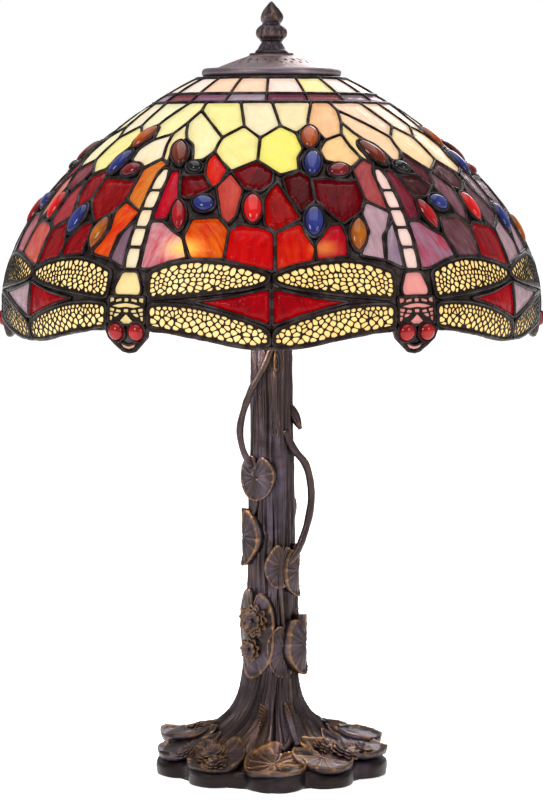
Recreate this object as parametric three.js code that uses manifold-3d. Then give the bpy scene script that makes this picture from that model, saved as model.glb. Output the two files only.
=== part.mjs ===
// Table lamp: a leaded-glass dragonfly shade on a cast tree-trunk base, with two lampholders inside.
// Millimetres, +Z up. The origin is the centre of the felt pad's underside, and -Y is the front.
// An azimuth is in degrees, 0 at the front and growing towards +X. An arc is the distance down the
// dome's surface from its crown, in millimetres.
import * as THREE from "three";
import { mergeVertices } from "three/addons/utils/BufferGeometryUtils.js";
import Module from "manifold-3d";

const wasm = await Module();
wasm.setup();

const DEG = Math.PI / 180;
const { lerp, smoothstep } = THREE.MathUtils;

// Clearances
const GAP = 0.3; // between pieces that seat on each other
const GLASS_GAP = 0.4; // between a glass panel and its lead or its neighbour

// Foot and trunk
const FOOT_RADIUS = 91;
const FOOT_SCALLOP = 2.5; // how far each lobe of the foot's edge swells and dips
const FOOT_LOBES = 10;
const FOOT_EDGE_HEIGHT = 12.5;
const FOOT_FLOOR = 0.6; // the cast edge stays this far above the table
const TRUNK_RADIUS = 16.5;
const TRUNK_HEIGHT = 350;
const TRUNK_WALL = 4.5;
const TRUNK_HOLLOW_BASE = 22;
const TRUNK_END_THICKNESS = 9; // solid metal left at the trunk's top, round the pipe
const VINE_RADIUS = 2.6;

// Hollow under the foot
const FELT_RADIUS = 82;
const FELT_THICKNESS = 2;
const BALLAST_RADIUS = 60;
const BALLAST_BORE_RADIUS = 20;
const BALLAST_THICKNESS = 7.5;
const FOOT_HOLLOW_RADIUS = 76;
const NUT_WELL_DEPTH = 6; // how far the well for the nut goes above the ballast
const INLET_RADIUS = 3.4;
const INLET_BORE_RADIUS = 2.1;
const INLET_FLANGE_RADIUS = 4.8;
const INLET_FLANGE = 2;
const INLET_HEIGHT = 6.6;

// Pipe through the trunk, and its nuts
const PIPE_RADIUS = 5;
const PIPE_BORE_RADIUS = 3.6;
const PIPE_BELOW_WASHER = 9;
const WASHER_RADIUS = 14;
const WASHER_THICKNESS = 1.5;
const PIPE_NUT_RADIUS = 9;
const PIPE_NUT_HEIGHT = 6;
const CUP_RADIUS = 19;
const CUP_HEIGHT = 7;

// Lamp cluster
const HUB_LIFT = 22; // hub's underside above the trunk's top
const HUB_RADIUS = 15;
const HUB_HEIGHT = 26;
const ARM_RADIUS = 5;
const ARM_BORE_RADIUS = 3.5;
const ARM_DEPTH = 5; // how far an arm is screwed into the hub
const SOCKET_AZIMUTHS = { front: -40, back: 140 };
const SOCKET_TILT = 15; // degrees above level
const SOCKET_REACH = 26; // from the lamp's axis to a lampholder's rear face
const SOCKET_RADIUS = 21;
const SOCKET_LENGTH = 48;
const SOCKET_WALL = 2.2;
const SOCKET_REAR = 17; // thickness of the closed rear end
const SHELL_THICKNESS = 0.7;
const SHELL_LENGTH = 26;

// Bulbs: 27 mm Edison screw
const BULB_CAP_RADIUS = 13;
const BULB_CAP_LENGTH = 26;
const BULB_CAP_THICKNESS = 0.6;
const BULB_GLASS_THICKNESS = 1;
const BULB_RADIUS = 29;
const BULB_GLASS_LENGTH = 76;

// Riser rod, seat, cap and finial
const COUPLING_RADIUS = 8;
const COUPLING_HEIGHT = 20;
const ROD_RADIUS = 3;
const SEAT_NUT_RADIUS = 8;
const SEAT_NUT_HEIGHT = 6;
const SEAT_DISC_RADIUS = 15;
const SEAT_DISC_THICKNESS = 3;
const CAP_RADIUS = 54;
const CAP_RISE = 17; // from the crown ring to the cap's flat top
const CAP_TOP_RADIUS = 17;
const CAP_THICKNESS = 1.5;
const VENT_SLOTS = 12;
const VENT_SLOT = { inner: 24, outer: 31, width: 3 };
const FINIAL_WASHER_THICKNESS = 1.4;
const FINIAL_HEIGHT = 39.7;
const INSERT_RADIUS = 5;
const INSERT_LENGTH = 13.5;
const INSERT_RECESS = 0.3; // how far the insert sits inside the finial's base

// Shade: the dome's profile is one curve from the crown to the rim
const SECTORS = 6;
const SECTOR = 360 / SECTORS;
const RING_SEGMENTS = 36; // facets round the dome
const SHADE_DROP = 11; // the rim curve's end below the trunk's top
const SHADE_HEIGHT = 202;
const CROWN_RADIUS = 56;
const RIM_RADIUS = 203.6;
const CROWN_LEAN = 19.4; // degrees below level where the profile leaves the crown
const CROWN_PULL = 17; // how long the profile keeps that lean
const RIM_LEAN = 17.8; // degrees off upright where the profile reaches the rim
const RIM_PULL = 109.5;
const GLASS_THICKNESS = 3;
const LEAD_WIDTH = 3;
const LEAD_PROUD = 1; // the lead stands this far out of the glass on both sides
const CROWN_RING_WIDTH = 6;
const CROWN_RING_THICKNESS = 3;
const CROWN_START = 2.5; // arc where the glass begins
const CREAM_START = 40; // arc of the lead below the crown panels
const RED_START = 118; // arc of the lead between the cream and the red glass

// Dragonflies, measured up the glass from the rim's end
const TAIL_HALF_WIDTH = 1.65; // degrees
const WING_TOP_UP = 72; // the upper wing's highest point
const WING_TOP_AZIMUTH = 15; // degrees from the body to that point
const SHOULDER_FALL = 10;
const TIP_FALL = 9;
const WING_FOOT_UP = 20; // the lower wing's edge beside the head
const TIP_FOOT_UP = 6; // the lower wing's edge at its tip
const CHIN_UP = 2;
const CHEEK_UP = 12;
const CHEEK_AZIMUTH = 4.2;
const NECK_AZIMUTH = 5;
const DIAMOND_HALF_WIDTH = 14.5;
const DIAMOND_UP = 40.5; // the diamond's side corners
const DIAMOND_ABOVE = 10.5;
const DIAMOND_BELOW = 15.5;
const DIAMOND_BLUNT = 0.6; // half height of the diamond's side corners

// Heights that follow from the sizes above
const ballastBase = FELT_THICKNESS + GAP;
const ballastCeiling = ballastBase + BALLAST_THICKNESS + GAP;
const wellCeiling = ballastCeiling + NUT_WELL_DEPTH;
const washerBase = wellCeiling - GAP - WASHER_THICKNESS;
const hubBase = TRUNK_HEIGHT + HUB_LIFT;
const hubTop = hubBase + HUB_HEIGHT;
const socketHeight = hubBase + HUB_HEIGHT / 2;
const couplingBase = hubTop + GAP;
const couplingTop = couplingBase + COUPLING_HEIGHT;
const pipeTop = couplingBase + COUPLING_HEIGHT / 2 - GAP;
const rimHeight = TRUNK_HEIGHT - SHADE_DROP;
const crownHeight = rimHeight + SHADE_HEIGHT;
const capBase = crownHeight + GAP;
const capTop = capBase + CAP_RISE;
const finialWasherBase = capTop + GAP;
const finialBase = finialWasherBase + FINIAL_WASHER_THICKNESS + GAP;
const insertBase = finialBase + INSERT_RECESS;
const rodTop = insertBase + INSERT_LENGTH - 3;

const group = new THREE.Group();

// Materials
function finish(color, roughness, metalness) {
  return new THREE.MeshStandardMaterial({ color, roughness, metalness });
}

const bronze = finish(0x3a2a20, 0.5, 0.8);
const brass = finish(0xb08a4a, 0.35, 1);
const steel = finish(0x9a9a98, 0.4, 1);
const iron = finish(0x2c2c2c, 0.7, 0.6);
const felt = finish(0x1f3325, 1, 0);
const porcelain = finish(0xe9e5da, 0.3, 0);
const lead = finish(0x2d2826, 0.5, 0.8);
const bulbGlass = finish(0xfff3d6, 0.2, 0);
const crownGlass = finish(0xdcc3bd, 0.25, 0);
const creamGlass = finish(0xf2e2c4, 0.25, 0);
const redGlass = finish(0x8c1420, 0.2, 0);
const wingGlass = finish(0xd9c388, 0.3, 0.2);

// Meshes and booleans
function closed(geometry) {
  geometry.deleteAttribute("normal");
  geometry.deleteAttribute("uv");
  return mergeVertices(geometry, 1e-3);
}

function solid(geometry) {
  const merged = closed(geometry);
  return new wasm.Manifold(
    new wasm.Mesh({
      numProp: 3,
      vertProperties: new Float32Array(merged.attributes.position.array),
      triVerts: new Uint32Array(merged.index.array),
    }),
  );
}

function surfaceOf(body) {
  const mesh = body.getMesh();
  const geometry = new THREE.BufferGeometry();
  geometry.setAttribute("position", new THREE.BufferAttribute(mesh.vertProperties, 3));
  geometry.setIndex(new THREE.BufferAttribute(mesh.triVerts, 1));
  return geometry;
}

function join(solids) {
  return solids.reduce((whole, piece) => whole.add(piece));
}

function add(name, geometry, material) {
  geometry.computeVertexNormals();
  const mesh = new THREE.Mesh(geometry, material);
  mesh.name = name;
  group.add(mesh);
  return mesh;
}

// A turned piece: its closed outline of [radius, height] points goes round +Z
function turned(outline, segments = 16) {
  const points = [...outline, outline[0]].map(([radius, height]) => new THREE.Vector2(radius, height));
  return new THREE.LatheGeometry(points, segments).rotateX(Math.PI / 2);
}

// A turned outline goes anticlockwise, seen with +Z up and the radius growing to the right
function tube(inner, outer, base, top, segments = 16) {
  const outline = [
    [inner, base],
    [outer, base],
    [outer, top],
    [inner, top],
  ];
  return turned(outline, segments);
}

// A hexagon nut round +Z
function nut(bore, radius, base, top) {
  const corners = Array.from({ length: 6 }, (_, index) => {
    const turn = (index * Math.PI) / 3;
    return new THREE.Vector2(radius * Math.cos(turn), radius * Math.sin(turn));
  });
  const outline = new THREE.Shape(corners);
  outline.holes.push(new THREE.Path().absarc(0, 0, bore, 0, 2 * Math.PI, true));
  const options = { depth: top - base, bevelEnabled: false, curveSegments: 12 };
  return new THREE.ExtrudeGeometry(outline, options).translate(0, 0, base);
}

function disc(radius, base, top, segments = 16) {
  const height = top - base;
  const body = new THREE.CylinderGeometry(radius, radius, height, segments);
  return body.rotateX(Math.PI / 2).translate(0, 0, base + height / 2);
}

function around(azimuth, radius, height) {
  return new THREE.Vector3(radius * Math.sin(azimuth * DEG), -radius * Math.cos(azimuth * DEG), height);
}

// ---------------------------------------------------------------- foot and trunk

function footEdge(azimuth) {
  return FOOT_RADIUS + FOOT_SCALLOP * Math.cos(FOOT_LOBES * (azimuth - 180) * DEG);
}

// The trunk's outside above the foot, as [radius, height]
const flare = [
  [27, 26],
  [16, 35],
  [9, 47],
  [4, 63],
  [1, 95],
  [0, 200],
  [-1, TRUNK_HEIGHT],
].map(([swell, height]) => [TRUNK_RADIUS + swell, height]);

// The trunk's hollow follows its outside, one wall thickness in
function trunkHollow() {
  const sides = flare.slice(1, -1).map(([radius, height]) => [radius - TRUNK_WALL, height - TRUNK_WALL]);
  const bottom = flare[0][0] - 2 * TRUNK_WALL;
  const [neck] = sides[sides.length - 1];
  const top = TRUNK_HEIGHT - TRUNK_END_THICKNESS;
  return [[0, TRUNK_HOLLOW_BASE], [bottom, TRUNK_HOLLOW_BASE], ...sides, [neck, top], [0, top]];
}

// The casting's outside: a scalloped foot that flares up into the trunk
function castingBody() {
  const rows = [
    [1, FOOT_FLOOR],
    [1.01, FOOT_EDGE_HEIGHT * 0.65],
    [0.975, FOOT_EDGE_HEIGHT],
    [0.83, FOOT_EDGE_HEIGHT + 4],
    [0.62, FOOT_EDGE_HEIGHT + 8],
  ].map(([share, height]) => [FOOT_RADIUS * share, height]);
  const outline = [...rows, ...flare].map(([radius, height]) => new THREE.Vector2(radius, height));
  const ends = [new THREE.Vector2(0, FOOT_FLOOR), ...outline, new THREE.Vector2(0, TRUNK_HEIGHT)];
  const body = new THREE.LatheGeometry(ends, FOOT_LOBES * 4).rotateX(Math.PI / 2);
  const place = body.attributes.position;
  for (let i = 0; i < place.count; i++) {
    const radius = Math.hypot(place.getX(i), place.getY(i));
    const azimuth = Math.atan2(place.getX(i), -place.getY(i)) / DEG;
    const share = smoothstep(radius, TRUNK_RADIUS * 2, FOOT_RADIUS);
    const swell = radius > 0 ? 1 + (share * (footEdge(azimuth) - FOOT_RADIUS)) / radius : 1;
    place.setXY(i, place.getX(i) * swell, place.getY(i) * swell);
  }
  return solid(body);
}

// A leaf against the trunk: a lens facing its azimuth, which stands out further the thicker it is
function leaf({ azimuth, height, halfWidth, halfHeight, stand = 1 }) {
  const lens = new THREE.SphereGeometry(1, 9, 5).rotateX(Math.PI / 2);
  lens.scale(halfWidth, stand + 3, halfHeight);
  lens.rotateZ(azimuth * DEG);
  const centre = around(azimuth, TRUNK_RADIUS + stand, height);
  return solid(lens.translate(centre.x, centre.y, centre.z));
}

const leaves = [
  { azimuth: -38, height: 232, halfWidth: 14, halfHeight: 14, stand: 3 },
  { azimuth: -78, height: 186, halfWidth: 12, halfHeight: 23 },
  { azimuth: 15, height: 157, halfWidth: 12, halfHeight: 18 },
  { azimuth: 80, height: 157, halfWidth: 9, halfHeight: 18, stand: 5 },
  { azimuth: -55, height: 108, halfWidth: 14, halfHeight: 33, stand: 4 },
  { azimuth: 20, height: 95, halfWidth: 12, halfHeight: 21, stand: 2 },
  { azimuth: 75, height: 101, halfWidth: 12, halfHeight: 24, stand: 9 },
  { azimuth: 150, height: 205, halfWidth: 13, halfHeight: 15, stand: 2 },
  { azimuth: -150, height: 140, halfWidth: 12, halfHeight: 19, stand: 2 },
];

// Vines: tubes along routes given as [azimuth, distance from the axis, height]
function vine(route) {
  const path = new THREE.CatmullRomCurve3(route.map((point) => around(...point)));
  const section = new THREE.Shape();
  section.absarc(0, 0, VINE_RADIUS, 0, 2 * Math.PI);
  const options = { extrudePath: path, steps: route.length * 2, curveSegments: 3, bevelEnabled: false };
  return solid(new THREE.ExtrudeGeometry(section, options));
}

const trunkFace = TRUNK_RADIUS + 1;
const vines = [
  [
    [10, trunkFace - 1, 335],
    [-20, trunkFace, 312],
    [-52, trunkFace + 5, 292],
    [-72, trunkFace + 8, 271],
    [-60, trunkFace + 6, 250],
    [-40, trunkFace, 234],
  ],
  [
    [30, trunkFace - 1, 258],
    [60, trunkFace + 4, 240],
    [80, trunkFace + 14, 222],
    [82, trunkFace + 16, 205],
    [75, trunkFace + 10, 188],
    [50, trunkFace + 3, 174],
    [22, trunkFace, 162],
  ],
];

// Lily pads on the foot: discs tilted out and down, given as [azimuth, distance out, radius, height]
function lilyPad([azimuth, distance, radius, height]) {
  const pad = new THREE.CylinderGeometry(radius, radius - 2, 4, 12).rotateX(Math.PI / 2);
  pad.rotateX(7 * DEG);
  pad.rotateZ(azimuth * DEG);
  const centre = around(azimuth, distance, height);
  return solid(pad.translate(centre.x, centre.y, centre.z));
}

const lilyPads = [
  [0, 58, 27, 15],
  [48, 58, 26, 14],
  [95, 60, 25, 15],
  [138, 58, 27, 16],
  [-140, 58, 27, 16],
  [-95, 60, 26, 15],
  [-48, 58, 24, 14],
];

const underFoot = [
  disc(FELT_RADIUS + GAP, -1, FELT_THICKNESS + GAP, 40),
  disc(FOOT_HOLLOW_RADIUS, -1, ballastCeiling, 32),
  disc(WASHER_RADIUS + 4, -1, wellCeiling, 20),
  disc(PIPE_RADIUS + GAP, -1, TRUNK_HEIGHT + 1, 12),
  turned(trunkHollow()),
].map(solid);

// The cord's way in, level and straight back through the foot's edge
function inletRound(geometry) {
  return geometry.rotateX(-Math.PI / 2).translate(0, 0, INLET_HEIGHT);
}

const inletStart = FOOT_HOLLOW_RADIUS - 4;
const inletFace = footEdge(180) * 1.01 + GAP;
const inletHole = solid(inletRound(disc(INLET_RADIUS + GAP, inletStart, inletFace + 5, 12)));

const casting = join([castingBody(), ...leaves.map(leaf), ...vines.map(vine), ...lilyPads.map(lilyPad)]);
const hollows = join([...underFoot, inletHole]);
add("trunk_base_casting", surfaceOf(casting.subtract(hollows)), bronze);

add("felt_pad", closed(disc(FELT_RADIUS, 0, FELT_THICKNESS, 40)), felt);
const ballastTop = ballastBase + BALLAST_THICKNESS;
add("ballast_disc", closed(tube(BALLAST_BORE_RADIUS, BALLAST_RADIUS, ballastBase, ballastTop, 24)), iron);

const bushOutline = [
  [INLET_BORE_RADIUS, inletStart + 2],
  [INLET_RADIUS, inletStart + 2],
  [INLET_RADIUS, inletFace],
  [INLET_FLANGE_RADIUS, inletFace],
  [INLET_FLANGE_RADIUS, inletFace + INLET_FLANGE],
  [INLET_BORE_RADIUS, inletFace + INLET_FLANGE],
];
add("cord_inlet_bush", closed(inletRound(turned(bushOutline, 12))), brass);

// ---------------------------------------------------------------- pipe and its nuts

const pipeBase = washerBase - PIPE_BELOW_WASHER;
add("lamp_pipe", closed(tube(PIPE_BORE_RADIUS, PIPE_RADIUS, pipeBase, pipeTop, 12)), steel);
const washerTop = washerBase + WASHER_THICKNESS;
add("pipe_washer", closed(tube(PIPE_RADIUS + GAP, WASHER_RADIUS, washerBase, washerTop)), steel);
const pipeNutTop = washerBase - GAP;
const pipeNutBase = pipeNutTop - PIPE_NUT_HEIGHT;
add("pipe_nut", closed(nut(PIPE_RADIUS + GAP, PIPE_NUT_RADIUS, pipeNutBase, pipeNutTop)), steel);

const cupBase = TRUNK_HEIGHT + GAP;
const cupOutline = [
  [PIPE_RADIUS + GAP, cupBase],
  [CUP_RADIUS, cupBase],
  [CUP_RADIUS * 0.85, cupBase + CUP_HEIGHT * 0.6],
  [CUP_RADIUS * 0.5, cupBase + CUP_HEIGHT],
  [PIPE_RADIUS + GAP, cupBase + CUP_HEIGHT],
];
add("trunk_top_cup", closed(turned(cupOutline)), bronze);

// ---------------------------------------------------------------- lamp cluster

// Turns a piece built along +Z, from the lamp's axis outwards, to a lampholder's direction
function alongSocket(mesh, azimuth) {
  const level = around(azimuth, Math.cos(SOCKET_TILT * DEG), Math.sin(SOCKET_TILT * DEG));
  mesh.quaternion.setFromUnitVectors(new THREE.Vector3(0, 0, 1), level.normalize());
  mesh.position.set(0, 0, socketHeight);
  mesh.updateMatrixWorld();
  return mesh;
}

function armHole(azimuth) {
  const hole = new THREE.Mesh(disc(ARM_RADIUS + GAP, HUB_RADIUS - ARM_DEPTH, HUB_RADIUS * 2, 12));
  alongSocket(hole, azimuth);
  return solid(hole.geometry.applyMatrix4(hole.matrixWorld));
}

const azimuths = Object.values(SOCKET_AZIMUTHS);
const hubBody = solid(tube(PIPE_RADIUS + GAP, HUB_RADIUS, hubBase, hubTop));
add("cluster_hub", surfaceOf(hubBody.subtract(join(azimuths.map(armHole)))), brass);

const armStart = HUB_RADIUS - ARM_DEPTH + GAP;
const socketFront = SOCKET_REACH + SOCKET_LENGTH;
const cavityStart = SOCKET_REACH + SOCKET_REAR;
const shellRadius = BULB_CAP_RADIUS + GAP + SHELL_THICKNESS;
const shellStart = cavityStart + GAP;
const capStart = shellStart + SHELL_THICKNESS + GAP;
const globeStart = capStart + BULB_CAP_LENGTH + GAP;

function socketOutline() {
  const shoulder = SOCKET_REACH + SOCKET_REAR * 0.7;
  return [
    [ARM_RADIUS + GAP, SOCKET_REACH],
    [SOCKET_RADIUS * 0.6, SOCKET_REACH],
    [SOCKET_RADIUS, shoulder],
    [SOCKET_RADIUS, socketFront],
    [SOCKET_RADIUS - SOCKET_WALL, socketFront],
    [SOCKET_RADIUS - SOCKET_WALL, cavityStart],
    [ARM_RADIUS + GAP, cavityStart],
  ];
}

function shellOutline() {
  return [
    [ARM_RADIUS + GAP, shellStart],
    [shellRadius, shellStart],
    [shellRadius, shellStart + SHELL_LENGTH],
    [shellRadius - SHELL_THICKNESS, shellStart + SHELL_LENGTH],
    [shellRadius - SHELL_THICKNESS, shellStart + SHELL_THICKNESS],
    [ARM_RADIUS + GAP, shellStart + SHELL_THICKNESS],
  ];
}

// The bulb's cap is a cup with its contact's hole at the rear, open to the glass
function bulbCapOutline() {
  const end = capStart + BULB_CAP_LENGTH;
  return [
    [2, capStart],
    [BULB_CAP_RADIUS * 0.7, capStart],
    [BULB_CAP_RADIUS, capStart + 3],
    [BULB_CAP_RADIUS, end],
    [BULB_CAP_RADIUS - BULB_CAP_THICKNESS, end],
    [BULB_CAP_RADIUS - BULB_CAP_THICKNESS, capStart + 3],
    [2, capStart + BULB_CAP_THICKNESS],
  ];
}

// The bulb's glass is a thin pear-shaped shell, open at its neck
function globeOutline() {
  const neck = BULB_CAP_RADIUS / BULB_RADIUS;
  const shape = [
    [neck, 0],
    [neck * 1.15, 0.12],
    [0.85, 0.38],
    [1, 0.6],
    [0.9, 0.82],
    [0.55, 0.96],
    [0, 1],
  ];
  const outside = shape.map(([r, u]) => [r * BULB_RADIUS, globeStart + u * BULB_GLASS_LENGTH]);
  const shrink = 1 - BULB_GLASS_THICKNESS / BULB_RADIUS;
  const inside = shape.map(([r, u]) => {
    const height = globeStart + u * (BULB_GLASS_LENGTH - BULB_GLASS_THICKNESS);
    return [r * BULB_RADIUS * shrink, height];
  });
  return [...outside, ...inside.reverse()];
}

for (const [side, azimuth] of Object.entries(SOCKET_AZIMUTHS)) {
  const arm = tube(ARM_BORE_RADIUS, ARM_RADIUS, armStart, cavityStart - GAP, 12);
  alongSocket(add(`cluster_arm_${side}`, closed(arm), brass), azimuth);
  alongSocket(add(`socket_body_${side}`, closed(turned(socketOutline())), porcelain), azimuth);
  alongSocket(add(`socket_shell_${side}`, closed(turned(shellOutline())), brass), azimuth);
  alongSocket(add(`bulb_cap_${side}`, closed(turned(bulbCapOutline())), steel), azimuth);
  alongSocket(add(`bulb_globe_${side}`, closed(turned(globeOutline())), bulbGlass), azimuth);
}

// ---------------------------------------------------------------- riser, seat, cap and finial

const couplingOutline = [
  [PIPE_RADIUS + GAP, couplingBase],
  [COUPLING_RADIUS, couplingBase],
  [COUPLING_RADIUS, couplingTop],
  [ROD_RADIUS + GAP, couplingTop],
  [ROD_RADIUS + GAP, pipeTop + GAP],
  [PIPE_RADIUS + GAP, pipeTop + GAP],
];
add("riser_coupling", closed(turned(couplingOutline, 12)), brass);
add("riser_rod", closed(disc(ROD_RADIUS, pipeTop + 2 * GAP, rodTop, 12)), steel);

const seatTop = capTop - CAP_THICKNESS - GAP;
const seatBase = seatTop - SEAT_DISC_THICKNESS;
const seatNutTop = seatBase - GAP;
const seatNutBase = seatNutTop - SEAT_NUT_HEIGHT;
add("shade_seat_disc", closed(tube(ROD_RADIUS + GAP, SEAT_DISC_RADIUS, seatBase, seatTop)), steel);
add("shade_seat_nut", closed(nut(ROD_RADIUS + GAP, SEAT_NUT_RADIUS, seatNutBase, seatNutTop)), steel);

// The pierced cap: a shallow cone with a rolled rim, closed profile
function capProfile() {
  const run = CAP_RADIUS - CAP_TOP_RADIUS;
  const slope = (radius) => lerp(capTop, capBase + 4.5, (radius - CAP_TOP_RADIUS) / run);
  return [
    [ROD_RADIUS + GAP, capTop - CAP_THICKNESS],
    [CAP_TOP_RADIUS, capTop - CAP_THICKNESS],
    [CAP_RADIUS - 5, slope(CAP_RADIUS - 5) - CAP_THICKNESS],
    [CAP_RADIUS - 3.5, capBase],
    [CAP_RADIUS - 0.5, capBase],
    [CAP_RADIUS, capBase + 2],
    [CAP_RADIUS - 1.5, capBase + 4],
    [CAP_RADIUS - 5, slope(CAP_RADIUS - 5)],
    [CAP_TOP_RADIUS, capTop],
    [ROD_RADIUS + GAP, capTop],
  ];
}

function ventSlot(index) {
  const { inner, outer, width } = VENT_SLOT;
  const cutter = new THREE.BoxGeometry(width, outer - inner, CAP_RISE * 2);
  cutter.translate(0, -(inner + outer) / 2, capBase + CAP_RISE / 2);
  return solid(cutter.rotateZ((index * 360 * DEG) / VENT_SLOTS));
}

const slots = join(Array.from({ length: VENT_SLOTS }, (_, index) => ventSlot(index)));
add("vent_cap", surfaceOf(solid(turned(capProfile(), 36)).subtract(slots)), bronze);

const finialWasherTop = finialWasherBase + FINIAL_WASHER_THICKNESS;
const finialWasher = tube(ROD_RADIUS + GAP, CAP_TOP_RADIUS, finialWasherBase, finialWasherTop);
add("finial_washer", closed(finialWasher), bronze);

// A bud over a ribbed bulb on a flared skirt, bored from below for the insert
function finialProfile() {
  const bore = INSERT_RADIUS + GAP;
  const boreTop = insertBase + INSERT_LENGTH + GAP;
  const skirt = [
    [bore, 0],
    [12.3, 0],
    [12, 1.6],
    [9.2, 5],
    [7.9, 8],
  ];
  const bulb = [
    [9.2, 10.6],
    [11.4, 14],
    [11.3, 17],
    [9.6, 20],
    [7, 22.2],
  ];
  const bud = [
    [7.7, 24.4],
    [8.3, 27.2],
    [6, 32],
    [3, 36.6],
  ];
  const outside = [...skirt, ...bulb, ...bud].map(([radius, height]) => [radius, finialBase + height]);
  return [...outside, [0, finialBase + FINIAL_HEIGHT], [0, boreTop], [bore, boreTop]];
}

add("finial", closed(turned(finialProfile(), 12)), bronze);
const insertTop = insertBase + INSERT_LENGTH;
add("finial_insert", closed(tube(ROD_RADIUS + GAP, INSERT_RADIUS, insertBase, insertTop, 12)), brass);

// ---------------------------------------------------------------- shade

// The shade's profile, from crown to rim, and its length
function walkProfile() {
  const crown = new THREE.Vector2(CROWN_RADIUS, crownHeight);
  const rim = new THREE.Vector2(RIM_RADIUS, rimHeight);
  const lean = CROWN_LEAN * DEG;
  const tuck = RIM_LEAN * DEG;
  const crownHandle = new THREE.Vector2(Math.cos(lean), -Math.sin(lean)).multiplyScalar(CROWN_PULL);
  const rimHandle = new THREE.Vector2(Math.sin(tuck), Math.cos(tuck)).multiplyScalar(RIM_PULL);
  const curve = new THREE.CubicBezierCurve(crown, crownHandle.add(crown), rimHandle.add(rim), rim);
  curve.arcLengthDivisions = 400;
  return { curve, length: curve.getLength() };
}

const profile = walkProfile();
const rimArc = profile.length;

function domeAt(arc) {
  const share = THREE.MathUtils.clamp(arc / rimArc, 0, 1);
  const { x: radius, y: height } = profile.curve.getPointAt(share);
  const { x: along, y: down } = profile.curve.getTangentAt(share);
  return { radius, height, outward: -down, upward: along };
}

function onShade(azimuth, arc, offset) {
  const { radius, height, outward, upward } = domeAt(arc);
  return around(azimuth, radius + offset * outward, height + offset * upward);
}

// A panel of the shade. Its columns stand at the given azimuths, its rows run from top(azimuth) to
// bottom(azimuth). Its two side edges are moved in by inset millimetres, and all of it along by slide.
function panel(shape) {
  const { columns, top, bottom, inset = 0, slide = 0, rows = 1, proud = 0 } = shape;
  const { behind = GLASS_THICKNESS } = shape;
  const body = new THREE.BoxGeometry(1, 1, 1, columns.length - 1, rows, 1);
  const place = body.attributes.position;
  const first = columns[0];
  const last = columns[columns.length - 1];
  for (let i = 0; i < place.count; i++) {
    const column = Math.round((place.getX(i) + 0.5) * (columns.length - 1));
    const nominal = columns[column];
    const across = (azimuth) => lerp(top(azimuth), bottom(azimuth), 0.5 - place.getY(i));
    const perMillimetre = 1 / (domeAt(across(nominal)).radius * DEG); // degrees
    const end = (nominal === first) - (nominal === last);
    const edge = nominal + end * inset * perMillimetre;
    const arc = across(edge);
    const azimuth = edge + slide * perMillimetre;
    const point = onShade(azimuth, arc, lerp(-behind, proud, place.getZ(i) + 0.5));
    place.setXYZ(i, point.x, point.y, point.z);
  }
  return body;
}

function evenColumns(from, to, count) {
  return Array.from({ length: count + 1 }, (_, index) => lerp(from, to, index / count));
}

function leadPanel(options) {
  return solid(panel({ ...options, proud: LEAD_PROUD, behind: GLASS_THICKNESS + LEAD_PROUD }));
}

const level = (arc) => () => arc;
const shift = (line, distance) => (azimuth) => line(azimuth) + distance;
const halfLead = LEAD_WIDTH / 2;
const LEAD_LAP = 0.6; // how far a lead's ends run into its neighbour's
const hair = 0.01; // degrees
const leadRoom = halfLead + GLASS_GAP;

function lapped(columns) {
  const ends = [columns[0] - hair, columns[columns.length - 1] + hair];
  return { columns: [ends[0], ...columns, ends[1]], inset: -LEAD_LAP };
}

// A lead that runs down the dome at one azimuth
function seamLead(azimuth, from, to, rows, slide = 0) {
  const columns = [azimuth - hair, azimuth + hair];
  return leadPanel({ columns, top: level(from), bottom: level(to), inset: -halfLead, slide, rows });
}

// A level lead all round the dome
function leadRing(arc) {
  const corners = [
    [arc + halfLead, -GLASS_THICKNESS - LEAD_PROUD],
    [arc + halfLead, LEAD_PROUD],
    [arc - halfLead, LEAD_PROUD],
    [arc - halfLead, -GLASS_THICKNESS - LEAD_PROUD],
  ];
  const outline = corners.map(([along, offset]) => {
    const { y, z } = onShade(0, along, offset);
    return [-y, z];
  });
  return solid(turned(outline, RING_SEGMENTS));
}

// Degrees from an azimuth to the nearest dragonfly's body, whose azimuths are odd half sectors
function fromBody(azimuth) {
  const turn = THREE.MathUtils.euclideanModulo(azimuth, SECTOR);
  return Math.abs(turn - SECTOR / 2);
}

// The top edge of the upper wings, a shallow arch on each side of the body
function wingTop(azimuth) {
  const away = fromBody(azimuth);
  const fall = away < WING_TOP_AZIMUTH ? SHOULDER_FALL : TIP_FALL;
  const reach = away < WING_TOP_AZIMUTH ? WING_TOP_AZIMUTH : SECTOR / 2 - WING_TOP_AZIMUTH;
  return rimArc - WING_TOP_UP + fall * ((away - WING_TOP_AZIMUTH) / reach) ** 2;
}

// The shade's lower edge: wings that hang lower at their tips, and a pointed chin at each head
function rimLine(azimuth) {
  const away = fromBody(azimuth);
  if (away <= CHEEK_AZIMUTH) {
    return rimArc - lerp(CHIN_UP, CHEEK_UP, away / CHEEK_AZIMUTH);
  }
  const share = smoothstep(away, NECK_AZIMUTH, SECTOR / 2 - 3);
  return rimArc - lerp(WING_FOOT_UP, TIP_FOOT_UP, share);
}

// The diamond of red glass between two dragonflies' wings, grown all round by the given gap
function diamond(seam, grow, extra) {
  const cornerArc = rimArc - DIAMOND_UP;
  const share = (azimuth) => 1 - Math.abs(azimuth - seam) / DIAMOND_HALF_WIDTH;
  const half = DIAMOND_BLUNT + grow;
  const above = (azimuth) => cornerArc - half - DIAMOND_ABOVE * share(azimuth);
  const below = (azimuth) => cornerArc + half + DIAMOND_BELOW * share(azimuth);
  const columns = evenColumns(seam - DIAMOND_HALF_WIDTH, seam + DIAMOND_HALF_WIDTH, 4);
  const behind = GLASS_THICKNESS + extra;
  return panel({ columns, top: above, bottom: below, inset: -grow, proud: extra, behind });
}

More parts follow.
